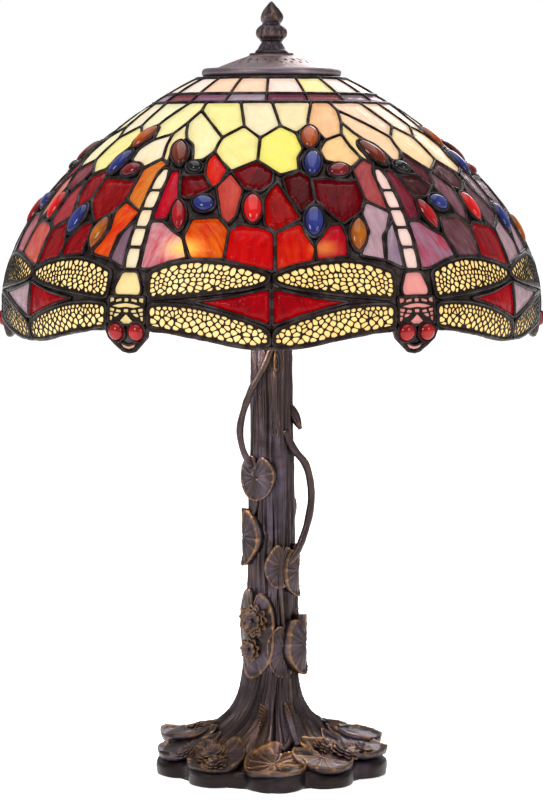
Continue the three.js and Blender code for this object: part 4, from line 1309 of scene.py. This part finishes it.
def foot_edge(azimuth):
    """The foot's outline where the lily pads overhang it, as a share of its radius, and its edge's wave."""
    reach = 0.0
    for middle, distance, radius, *_ in FOOT_PADS:
        turn = (azimuth - middle) * DEGREE
        across = distance * math.sin(turn)
        if abs(across) < radius and math.cos(turn) > 0:
            edge = distance * math.cos(turn) + math.sqrt(radius * radius - across * across)
            reach += math.exp(edge / 2.5)
    outline = max(82.0, 2.5 * math.log(max(reach, 1.0)) - 1.5)
    wave = 1.4 * math.sin((7 * azimuth + 30) * DEGREE) + 0.9 * math.sin((11 * azimuth - 50) * DEGREE)
    return outline / 91.0, wave


TRUNK_COLUMNS = 264
ROOTS_END = 72.0
FOOT_START = 56.0


def trunk():
    """The hollow tree trunk, its roots and the foot, one casting."""
    sides = TRUNK_COLUMNS
    line = np.concatenate((smooth_line(FOOT_LINE[:6], 2.2), smooth_line(FOOT_LINE[5:], 1.15)[1:]))
    line = np.concatenate((line, smooth_line(FOOT_EDGE, 1.4)))
    slope = np.gradient(line, axis=0)
    slope /= np.linalg.norm(slope, axis=1)[:, None]
    out = np.stack((-slope[:, 1], slope[:, 0]), -1)
    rows = len(line)
    azimuths = np.arange(sides) * 360.0 / sides
    points = np.zeros((rows, sides, 3))
    worn = np.zeros((rows, sides))
    edges = [foot_edge(a) for a in azimuths]
    for i, (radius, z) in enumerate(line):
        spread = max(0.0, min(1.0, (radius - 60.0) / 30.0))
        for j, azimuth in enumerate(azimuths):
            depth, rubbed = bark_depth(azimuth, radius, z)
            if radius > ROOTS_END:
                depth = 0.0
            scallop, wave = edges[j]
            grown = radius * (1 + (scallop - 1) * spread) + depth * out[i, 0]
            lift = wave * spread * max(0.0, min(1.0, z / 12.0))
            if radius > FOOT_START:
                ripple = noise.noise(Vector((azimuth * 0.09, radius * 0.10, 4.0)))
                lift += 1.1 * ripple * spread
                rubbed += 0.25 * max(0.0, ripple)
            height = z + depth * out[i, 1] + lift
            worn[i, j] = rubbed + (0.35 if 86.0 < radius < 90.5 and z > 11 else 0.0)
            points[i, j] = polar(azimuth, grown, height)
    count = rows * sides
    caps = np.array(((0, 0, TRUNK_TOP), (0, 0, FOOT_EDGE[-1][1])))
    faces = strip(rows, sides, turned=True) + fan(0, sides, count)
    faces += fan(count - sides, sides, count + 1, turned=True)
    work = Work()
    work.add(np.concatenate((points.reshape(-1, 3), caps)) * MM, faces, worn=np.append(worn.ravel(), (0, 0)))
    work.make("trunk_and_foot", *CASTING)


def tube(work, points, radius):
    """A round stem along a line of points in millimetres."""
    sides = 12
    run = np.gradient(points, axis=0)
    run /= np.linalg.norm(run, axis=1)[:, None]
    side = np.zeros_like(run)
    last = np.cross(run[0], (0.31, 0.87, 0.21))
    for i, way in enumerate(run):
        last = last - way * (last @ way)
        last = last / np.linalg.norm(last)
        side[i] = last
    up = np.cross(side, run)
    angles = angles_round(sides)
    lumps = np.array([noise.noise(Vector(p) * 0.16) for p in points])
    radii = (radius * (1 + 0.16 * lumps))[:, None, None]
    rings = points[:, None] + radii * (
        side[:, None] * np.cos(angles)[None, :, None] + up[:, None] * np.sin(angles)[None, :, None]
    )
    count = len(points)
    rub_and_shade = np.tile(0.3 + 0.25 * np.maximum(0, np.cos(angles)), count)
    work.add(rings.reshape(-1, 3) * MM, strip(count, sides) + ends(count, sides), worn=rub_and_shade)


def leaf_edge(angle, notch, seed):
    """How far round from its notch a leaf's point is, and its reach there, for the notch and the waves."""
    away = (angle - notch + math.pi) % (2 * math.pi) - math.pi
    cleft = 1 - 0.62 * math.exp(-(away / 0.16) ** 2)
    wave = 1 + 0.030 * math.sin(3 * angle + seed) + 0.018 * math.sin(5 * angle + 2.0 * seed)
    return away, cleft * wave


def lily_leaf(work, frame_of, half_width, half_height, curl, veins, notch, cup, seed, thick, gilding):
    """A veined lily leaf with a curled rim and a notch; frame_of puts flat points in place."""
    rings = 18
    sides = 80
    shares = np.linspace(0.03, 1.0, rings) ** 0.85
    angles = angles_round(sides)
    edges = [leaf_edge(angle, notch, seed) for angle in angles]
    top = []
    worn = []
    for share in shares:
        for angle, (away, reach) in zip(angles, edges):
            u = math.cos(angle) * share * reach * half_width
            v = math.sin(angle) * share * reach * half_height
            turn = away * veins / (2 * math.pi)
            rib = math.exp(-((turn - round(turn)) / (0.05 + 0.05 / max(share, 0.1))) ** 2)
            fine = math.exp(-((turn * 2 - round(turn * 2)) / 0.16) ** 2) * max(0.0, share - 0.45)
            rim = math.exp(-((1 - share) / 0.09) ** 2)
            w = cup * share * share + 0.75 * rib * (1 - 0.5 * share) + 0.5 * fine
            roll = curl * rim * (1 + 0.45 * math.sin(4 * angle + 1.7 * seed))
            w += roll - 0.9 * math.exp(-(share / 0.12) ** 2)
            top.append(frame_of(u, v, w))
            worn.append(0.14 + 0.26 * rib + 0.36 * rim + 0.15 * fine + gilding)
    top.append(frame_of(0, 0, -0.8))
    worn.append(0.4)
    bottom = [frame_of(0, 0, -thick - 1.4)]
    under_shares = shares[::4]
    for share in under_shares:
        for angle, (away, reach) in zip(angles, edges):
            u = math.cos(angle) * min(share, 0.985) * reach * half_width
            v = math.sin(angle) * min(share, 0.985) * reach * half_height
            bottom.append(frame_of(u, v, cup * share * share - thick))
    apex = rings * sides
    base = apex + 2
    outer = apex - sides
    under = base + (len(under_shares) - 1) * sides
    faces = strip(rings, sides, turned=True) + fan(0, sides, apex)
    faces += strip(len(under_shares), sides, base) + fan(base, sides, apex + 1, turned=True)
    for j in range(sides):
        k = (j + 1) % sides
        faces.append((outer + j, under + j, under + k, outer + k))
    points = np.array(top + bottom)
    worn += [0.05] * len(bottom)
    work.add(points * MM, faces, worn=worn)


def on_trunk(azimuth, height, radius, wrap, tilt):
    """A placing for leaves that lie against the trunk."""
    angle = azimuth * DEGREE
    out = np.array((math.sin(angle), -math.cos(angle), 0.0))
    across = np.array((math.cos(angle), math.sin(angle), 0.0))
    up = np.array((0.0, 0.0, 1.0))
    centre = out * radius + up * height
    lean = out * math.cos(tilt) - up * math.sin(tilt)
    rise = up * math.cos(tilt) + out * math.sin(tilt)

    def frame_of(u, v, w):
        return centre + across * u + rise * v + lean * (w - u * u / (2 * wrap))

    return frame_of


def foot_height(radius):
    """How high the foot's top is, for a distance from the middle."""
    return float(np.interp(radius, *zip(*FOOT_LINE[6:])))


def on_foot(azimuth, distance, lift, tilt):
    """A placing for leaves that lie on the foot and tip outward."""
    angle = azimuth * DEGREE
    out = np.array((math.sin(angle), -math.cos(angle)))
    across = np.array((math.cos(angle), math.sin(angle)))

    def frame_of(u, v, w):
        plan = out * (distance + v) + across * u
        radius = float(np.hypot(*plan))
        ground = min(foot_height(radius), 30.0)
        return np.array((plan[0], plan[1], ground + lift + w - v * math.tan(tilt)))

    return frame_of


# A petal's section, as shares of its half width and its thickness.
BLADE_SECTION = ((-1, 0.15), (-0.5, 0.6), (0, 0.35), (0.5, 0.6), (1, 0.15), (0.4, -0.5), (-0.4, -0.5))


def blade(work, start, along, up, length, width, curl, worn=0.35, thick=0.9):
    """A petal or leaflet: a narrow curved leaf."""
    along = np.array(along, float)
    along /= np.linalg.norm(along)
    up = np.array(up, float)
    up -= along * (up @ along)
    up /= np.linalg.norm(up)
    side = np.cross(along, up)
    rows = 7
    points = []
    rub_and_shade = []
    for i in range(rows):
        t = i / (rows - 1)
        half = 0.5 * width * (math.sin(math.pi * (0.12 + 0.86 * t)) ** 0.7)
        middle = np.array(start) + along * length * t + up * (curl * t * t)
        for share, rise in BLADE_SECTION:
            points.append(middle + side * half * share + up * thick * rise)
            rub_and_shade.append(worn + 0.3 * t if rise > 0.1 else 0.0)
    sides = len(BLADE_SECTION)
    faces = strip(rows, sides, turned=True) + ends(rows, sides, turned=True)
    work.add(np.array(points) * MM, faces, worn=rub_and_shade)


def flower(work, centre, out, radius, layers, petals, seed):
    """A many-petalled flower lying open."""
    out = np.array(out, float)
    out /= np.linalg.norm(out)
    first = np.cross(out, (0.3, 0.2, 1.0))
    first /= np.linalg.norm(first)
    second = np.cross(out, first)
    rng = np.random.default_rng(seed)
    for layer in range(layers):
        share = 1 - layer / layers
        count = petals - 2 * layer
        for i in range(count):
            angle = 2 * math.pi * (i + 0.5 * (layer % 2)) / count + rng.uniform(-0.08, 0.08)
            way = first * math.cos(angle) + second * math.sin(angle)
            steep = 0.04 + 0.36 * (1 - share)
            along = way * math.cos(steep) + out * math.sin(steep)
            start = np.array(centre) + way * radius * 0.12 + out * (0.9 * layer)
            width = max(4.8 * math.pi * radius * 0.5 / petals, 3.0)
            length = radius * (0.45 + 0.55 * share)
            blade(work, start, along, out, length, width, radius * 0.05, 0.34, 1.4)


# Vines: where each goes, in degrees round, millimetres out and millimetres up, then its half thickness.
VINES = (
    (
        (
            (10, 15.5, 342), (-18, 18, 320), (-48, 22.5, 298), (-68, 26.2, 272), (-64, 25.0, 254),
            (-50, 20.5, 240),
        ),
        2.7,
    ),
    (
        (
            (40, 16.0, 268), (56, 20.5, 254), (76, 28.0, 240), (82, 31.5, 218), (78, 29, 196),
            (60, 23.5, 174), (40, 18, 164),
        ),
        3.0,
    ),
    (((26, 19, 178), (20, 19.4, 150), (24, 19.6, 128), (30, 19.8, 112)), 1.7),
    (((44, 19, 74), (36, 25, 55), (28, 35, 40), (16, 48, 29), (8, 56, 25)), 2.3),
    (((-36, 19.0, 222), (-44, 19.4, 206), (-60, 19.6, 200)), 1.8),
    (((96, 19.5, 92), (118, 19, 120), (140, 19, 150), (150, 18.5, 186)), 2.2),
    (((-120, 19.5, 80), (-135, 19, 110), (-150, 19, 136)), 2.2),
)
# Leaves against the trunk: azimuth, height, half width, half height, stand-off, outward tip, notch, wrap.
TRUNK_LEAVES = (
    (-38, 232, 16.2, 18.0, 3.2, 0.0, 1.5, 40),
    (-70, 185, 14.5, 23, 5.6, 0.0, 1.6, 17),
    (24, 162, 13.0, 17.5, 2.4, 0.03, 1.5, 22),
    (66, 158, 12.0, 21, 4.4, 0.0, 1.8, 16),
    (-44, 110, 18.5, 36, 5.0, 0.02, 1.4, 22),
    (27, 96, 13.5, 21.5, 4.0, 0.08, 1.5, 26),
    (62, 101, 14.5, 24, 11.5, 0.0, 1.9, 15),
    (150, 205, 13, 16, 2.5, 0.0, 1.5, 22),
    (-150, 140, 13, 20, 2.5, 0.0, 1.5, 22),
    (118, 120, 13, 18, 3.0, 0.0, 1.5, 20),
)
# Lily pads on the foot: azimuth, distance, radius, lift, tip, notch, gilding.
FOOT_PADS = (
    (2, 74, 24, 2.6, 0.02, 1.1, 0.28),
    (34, 71, 24, 3.8, 0.05, 2.2, 0.24),
    (70, 68, 27, 5.6, -0.06, 1.6, 0.05),
    (106, 66, 26, 6.6, -0.08, 1.2, 0.0),
    (144, 66, 27, 5.4, -0.03, 1.6, 0.0),
    (180, 68, 26, 6.8, -0.04, 1.8, 0.0),
    (-144, 66, 26, 5.4, -0.04, 1.5, 0.0),
    (-108, 66, 27, 7.4, -0.12, 1.5, 0.1),
    (-72, 68, 26, 4.6, -0.02, 1.4, 0.05),
    (-36, 71, 23, 3.0, 0.03, 1.9, 0.1),
)


# Flowers on the foot: azimuth, distance, radius, seed.
FLOWERS = (
    (-38, 74, 12, 5), (-50, 66, 10, 6), (-30, 86, 9, 7), (-58, 80, 8, 12),
    (52, 72, 12, 8), (64, 78, 10, 9), (44, 60, 9, 10), (172, 74, 11, 11), (-120, 72, 10, 13),
)


def foliage():
    """Vines, leaves, pads, flowers and the seed pod."""
    leaves = Work()
    for i, (azimuth, height, half_width, half_height, stand, tilt, notch, wrap) in enumerate(TRUNK_LEAVES):
        place = on_trunk(azimuth, height, 17.6 + stand, wrap, tilt)
        thick = 2.8 + 0.5 * stand
        lily_leaf(leaves, place, half_width, half_height, 1.4, 15, notch, -0.6, 1.3 * i, thick, 0.12)
    leaves.make("trunk_leaves", *CASTING)
    pads = Work()
    for i, (azimuth, distance, radius, lift, tilt, notch, gilding) in enumerate(FOOT_PADS):
        place = on_foot(azimuth, distance, lift - 1.2, tilt)
        lily_leaf(pads, place, radius, radius * 0.97, 2.2, 11, -notch, 0.8, 2.1 * i + 0.4, 3.4, gilding)
    pads.make("foot_lily_pads", *CASTING)
    stems = Work()
    for route, radius in VINES:
        corners = [polar(*corner) for corner in route]
        tube(stems, smooth_line(corners, 2.2), radius)
    stems.make("vines_and_stems", *CASTING)
    flowers = Work()
    flower(flowers, polar(-34, 24.6, 120), polar(-34, 1, 0.05), 12.0, 3, 11, 3)
    flower(flowers, polar(-42, 24.6, 97), polar(-42, 1, 0.0), 9.0, 2, 9, 4)
    for azimuth, distance, radius, seed in FLOWERS:
        centre = polar(azimuth, distance, foot_height(distance) + 4.6)
        flower(flowers, centre, polar(azimuth, 0.45, 1.0), radius, 3, 11, seed)
    for i in range(11):
        share = i / 10
        start = polar(-5 - 4 * share, 29 + 10 * share, 50 - 20 * share)
        way = polar(-60 + 24 * share, 1.0, 0.9 - 1.1 * share)
        blade(flowers, start, way, polar(-5, 1.0, 0.3), 11 - 3 * share, 2.1, 1.0, 0.45)
    pod(flowers)
    bud(flowers)
    flowers.make("flowers_and_pods", *CASTING)


def pod(work):
    """A cattail pod standing against the roots, with its kernels."""
    base = polar(24, 52, 26)
    way = polar(24, 27.5, 56) - base
    length = np.linalg.norm(way)
    way /= length
    side = np.cross(way, (0, 0, 1.0))
    side /= np.linalg.norm(side)
    up = np.cross(side, way)
    rows = 44
    sides = 40
    points = []
    rub_and_shade = []
    for i in range(rows):
        t = i / (rows - 1)
        swell = 5.0 * (math.sin(math.pi * min(1.0, 0.1 + 0.82 * t)) ** 0.55)
        for j in range(sides):
            angle = 2 * math.pi * j / sides
            kernel = max(0.0, math.cos(10 * angle)) * abs(math.sin(11 * math.pi * t))
            radius = swell + 0.75 * kernel
            points.append(base + way * length * t + radius * (side * math.cos(angle) + up * math.sin(angle)))
            rub_and_shade.append(0.2 + 0.6 * kernel)
    work.add(np.array(points) * MM, strip(rows, sides) + ends(rows, sides), worn=rub_and_shade)


def bud(work):
    """The closed bud where the right-hand vine leaves the trunk."""
    base = polar(72, 15.0, 288)
    tip = polar(78, 23.5, 268)
    for i in range(6):
        angle = math.pi * i / 3
        way = (tip - base) + 2.2 * np.array((math.cos(angle), math.sin(angle), 0))
        blade(work, base, way, (math.cos(angle), math.sin(angle), 0.2), 21, 8.0, -1.5, 0.3, 2.2)


# ---------------------------------------------------------------- cap and finial

FINIAL_LINE = (
    (0.0, 0.0), (12.3, 0.0), (12.5, 0.9), (12.0, 1.9), (10.6, 2.8), (9.3, 4.8), (8.0, 7.4), (7.9, 8.4),
    (9.0, 9.8), (9.4, 10.8), (11.0, 12.6), (11.6, 15.2), (11.2, 17.8), (9.6, 20.2), (7.4, 22.0),
    (6.9, 22.9), (7.6, 23.8),
    (8.2, 25.2), (8.6, 27.4), (8.0, 29.8), (6.4, 32.4), (4.3, 35.2), (2.4, 37.8), (0.9, 39.3), (0.0, 39.6),
)


def lathe(work, line, sides, carve):
    """A turned and carved solid from (radius, height) points that start and end on the axis."""
    points = [(0.0, 0.0, line[0][1])]
    rub_and_shade = [0.1]
    for radius, z in line[1:-1]:
        for angle in angles_round(sides):
            grown, rubbed = carve(radius, z, angle)
            points.append((grown * math.cos(angle), grown * math.sin(angle), z))
            rub_and_shade.append(rubbed)
    points.append((0.0, 0.0, line[-1][1]))
    rub_and_shade.append(0.5)
    rows = len(line) - 2
    last = 1 + rows * sides
    faces = fan(1, sides, 0, turned=True) + strip(rows, sides, 1) + fan(last - sides, sides, last)
    work.add(np.array(points) * MM, faces, worn=rub_and_shade)


def finial():
    """The turned finial: a gadrooned bulb and a bud with leaves."""
    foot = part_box("finial")[0].z / MM
    line = smooth_line([(r, z + foot) for r, z in FINIAL_LINE], 0.45)
    line = [(max(r, 0.02), z) for r, z in line]

    def carve(radius, z, angle):
        up = z - foot
        bulb = math.exp(-((up - 15.0) / 4.6) ** 4)
        tip = math.exp(-((up - 29.5) / 6.5) ** 4)
        skirt = math.exp(-((up - 5.0) / 2.6) ** 4)
        lobes = abs(math.cos(6 * angle))
        leaves = abs(math.cos(2.5 * angle + 0.12 * (up - 29)))
        grown = radius * (1 + bulb * (0.10 * lobes - 0.06) + skirt * 0.05 * math.cos(12 * angle))
        grown += tip * (1.1 * leaves ** 2 - 0.5) * min(1.0, radius / 4)
        rubbed = 0.2 + 0.45 * bulb * lobes + 0.45 * tip * leaves ** 2 + 0.2 * skirt
        return grown, rubbed

    work = Work()
    lathe(work, line, 96, carve)
    for row in range(2):
        for i in range(5):
            angle = 2 * math.pi * (i + 0.5 * row) / 5
            out = np.array((math.cos(angle), math.sin(angle), 0.0))
            start = out * 6.6 + (0, 0, foot + 23.6 + 3.2 * row)
            blade(work, start, out * -0.16 + (0, 0, 1.0), out, 7.4 - 0.8 * row, 6.0, -1.3, 0.45, 1.3)
    work.make("finial_casting", DARK_BRONZE, "finial_shell", "antique_bronze", "finial")


# Radii of the cap's rows, and where its two rings of slots are: inner and outer radius, then which of every
# seven columns are open.
CAP_ROWS = (17.0, 19.0, 21.5, 23.0, 24.6, 26.2, 27.8, 29.2, 31.0, 32.6, 34.0, 36.0, 40.0, 44.0, 47.5, 50.0)
CAP_SLOTS = ((24.6, 29.2, (2, 3, 4)), (31.0, 34.0, (5, 6)))
CAP_COLUMNS = 168
CAP_THICKNESS = 1.3


def vent_cap():
    """The pierced cap: a shallow cone with two rings of slots and a rolled rim."""
    low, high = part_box("vent_cap")
    rim = high.x / MM
    base = low.z / MM
    top = high.z / MM
    first = CAP_ROWS[0]
    heights = [top - (r - first) * 0.335 - 0.0016 * (r - first) ** 2 for r in CAP_ROWS]
    upper = np.array([
        (r * math.cos(angle), r * math.sin(angle), z)
        for r, z in zip(CAP_ROWS, heights) for angle in angles_round(CAP_COLUMNS)
    ])
    faces = []
    for index, face in enumerate(strip(len(CAP_ROWS), CAP_COLUMNS)):
        row, column = divmod(index, CAP_COLUMNS)
        middle = (CAP_ROWS[row] + CAP_ROWS[row + 1]) / 2
        if not any(a < middle < b and column % 7 in open_ones for a, b, open_ones in CAP_SLOTS):
            faces.append(face)
    work = Work()
    both = np.concatenate((upper, upper - (0, 0, CAP_THICKNESS)))
    work.add(both * MM, slab(len(upper), faces), worn=np.full(len(both), 0.55))
    turns = angles_round(14)
    ring(work, list(zip(rim - 3.0 + 3.0 * np.cos(turns), base + 3.6 + 3.4 * np.sin(turns))), 0.4)
    edge = heights[-1]
    shoulder = [(51.6, base + 6.0), (51.6, base + 3.0), (49.4, base + 3.0)]
    ring(work, [(49.0, edge + 0.2), *shoulder, (48.6, edge - 1.4)], 0.3)
    below = top - 1.4
    ring(work, [(17.6, top + 0.2), (18.2, top - 0.5), (17.6, below), (3.4, below), (3.4, top + 0.2)], 0.4)
    sharpen(work.make("pierced_cap", PAINTED_LIT_CAP_BRONZE, "shade", "antique_bronze", "vent_cap"), 35.0)


def ring(work, section, worn):
    """A turned ring from a closed section of (radius, height) points."""
    angles = angles_round(CAP_COLUMNS)
    points = np.array([(r * math.cos(a), r * math.sin(a), z) for r, z in section for a in angles])
    faces = strip(len(section), CAP_COLUMNS, looped=True, turned=True)
    work.add(points * MM, faces, worn=np.full(len(points), worn))


trunk()
foliage()
vent_cap()
finial()


# ---------------------------------------------------------------- the lamp's own fittings


def fitting_finish(name, dark, light, metallic, roughness, fineness, wave):
    """A plain fitting: two shades that drift into each other, with a fine cast or spun surface."""
    finish = Finish(name)
    place = finish.place()
    patches = finish.cloud(place, 45.0, 4.0, 0.6)
    fine = finish.cloud(place, fineness, 3.0, 0.6)
    return finish.surface({
        "Base Color": finish.mix(patches * 0.6 + fine * 0.4, srgb(dark), srgb(light)),
        "Metallic": metallic,
        "Roughness": roughness + 0.18 * fine,
        "Normal": finish.bump(fine, wave),
    })


def frosted_bulb():
    """A lit bulb's frosted globe."""
    finish = Finish("lit_frosted_globe")
    haze = finish.cloud(finish.place(), 60.0, 2.0)
    colour = finish.mix(haze, srgb("ffe2b0"), srgb("fff0d4"))
    return finish.surface({
        "Base Color": colour,
        "Roughness": 0.35 + 0.1 * haze,
        "Emission Color": colour,
        "Emission Strength": 1.6,
    })


def fittings():
    """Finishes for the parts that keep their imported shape."""
    cast = fitting_finish("cast_bronze_fitting", "2c2322", "5a4a40", 0.85, 0.34, 420.0, 0.0004)
    finishes = (
        (fitting_finish("wool_felt", "1c3424", "35543c", 0.0, 0.82, 1400.0, 0.0012), ("felt_pad",)),
        (fitting_finish("grey_cast_iron", "2e2d2e", "4c4a49", 0.7, 0.55, 700.0, 0.0006), ("ballast_disc",)),
        (
            fitting_finish("spun_brass", "8a6428", "c8a058", 1.0, 0.24, 900.0, 0.0001),
            (
                "cord_inlet_bush", "lamp_pipe", "cluster_hub", "cluster_arm_front", "cluster_arm_back",
                "riser_coupling", "riser_rod", "socket_shell_front", "socket_shell_back", "bulb_cap_front",
                "bulb_cap_back", "finial_insert",
            ),
        ),
        (
            fitting_finish("zinc_plate", "7c7f84", "b4b6b8", 0.95, 0.3, 800.0, 0.0001),
            ("pipe_washer", "pipe_nut", "shade_seat_nut"),
        ),
        (cast, ("trunk_top_cup", "shade_seat_disc", "finial_washer", "shade_crown_ring")),
        (
            fitting_finish("glazed_porcelain", "d8d2c4", "f0ece2", 0.0, 0.14, 300.0, 0.0001),
            ("socket_body_front", "socket_body_back"),
        ),
        (frosted_bulb(), ("bulb_globe_front", "bulb_globe_back")),
    )
    for material, names in finishes:
        for name in names:
            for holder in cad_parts[name].material_slots:
                holder.material = material


fittings()


# ---------------------------------------------------------------- studio


ROOM_LIGHT = 0.42
BULB_LIGHT = 1.2
FLOOR_REACH = 12.0
# Softboxes: name, place, width and power.
SOFTBOXES = (
    ("key_softbox", (-1.5, -1.9, 1.5), 0.7, 22.0),
    ("fill_softbox", (1.8, -1.6, 1.1), 0.8, 12.0),
    ("back_softbox", (0.6, 2.0, 1.5), 0.9, 16.0),
    ("overhead_softbox", (0.0, 0.2, 3.2), 3.0, 60.0),
)


def put(name, data, place, aim=None):
    """A light, camera or floor put in the scene, pointed at something if an aim is given."""
    made = bpy.data.objects.new(name, data)
    made.location = place
    if aim:
        made.rotation_euler = (Vector(aim) - Vector(place)).to_track_quat("-Z", "Y").to_euler()
    bpy.context.scene.collection.objects.link(made)
    return made


def studio():
    """Pale floor, soft light and the camera."""
    mesh = bpy.data.meshes.new("floor")
    corners = [(x * FLOOR_REACH, y * FLOOR_REACH, 0) for x, y in ((-1, -1), (1, -1), (1, 1), (-1, 1))]
    mesh.from_pydata(corners, [], [(0, 1, 2, 3)])
    finish = Finish("pale_floor")
    spots = finish.cloud(finish.place(), 3.0)
    mesh.materials.append(finish.surface({
        "Base Color": finish.mix(spots, srgb("f7f6f4"), srgb("fbfaf8")),
        "Roughness": 0.9,
        "Specular IOR Level": 0.0,
        "Emission Color": (1.0, 1.0, 1.0, 1.0),
        "Emission Strength": 0.72,
    }))
    put("floor", mesh, (0, 0, 0))
    world = bpy.data.worlds.new("studio")
    bpy.context.scene.world = world
    world.use_nodes = True
    background = world.node_tree.nodes["Background"]
    background.inputs["Color"].default_value = (1.0, 1.0, 1.0, 1.0)
    seen = world.node_tree.nodes.new("ShaderNodeLightPath")
    room = world.node_tree.nodes.new("ShaderNodeMapRange")
    room.inputs["To Min"].default_value = ROOM_LIGHT
    room.inputs["To Max"].default_value = 1.0
    world.node_tree.links.new(seen.outputs["Is Camera Ray"], room.inputs["Value"])
    world.node_tree.links.new(room.outputs["Result"], background.inputs["Strength"])
    for name, place, size, power in SOFTBOXES:
        light = bpy.data.lights.new(name, "AREA")
        light.shape = "RECTANGLE"
        light.size = size
        light.size_y = size * 1.3
        light.energy = power
        put(name, light, place, (0, 0, 0.3))
    for side in ("front", "back"):
        low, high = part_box("bulb_globe_" + side)
        light = bpy.data.lights.new("bulb_light_" + side, "POINT")
        light.energy = BULB_LIGHT
        light.color = (1.0, 0.86, 0.68)
        light.shadow_soft_size = 0.02
        put("bulb_light_" + side, light, ((low.x + high.x) / 2, (low.y + high.y) / 2, low.z - 0.03))
    camera = bpy.data.cameras.new("camera")
    camera.lens = 126.6
    camera.sensor_width = 36.0
    bpy.context.scene.camera = put("camera", camera, (0.0, -2.190, 0.487), (0.0, 0.0, 0.291))
    bpy.context.scene.view_settings.view_transform = "Standard"


studio()
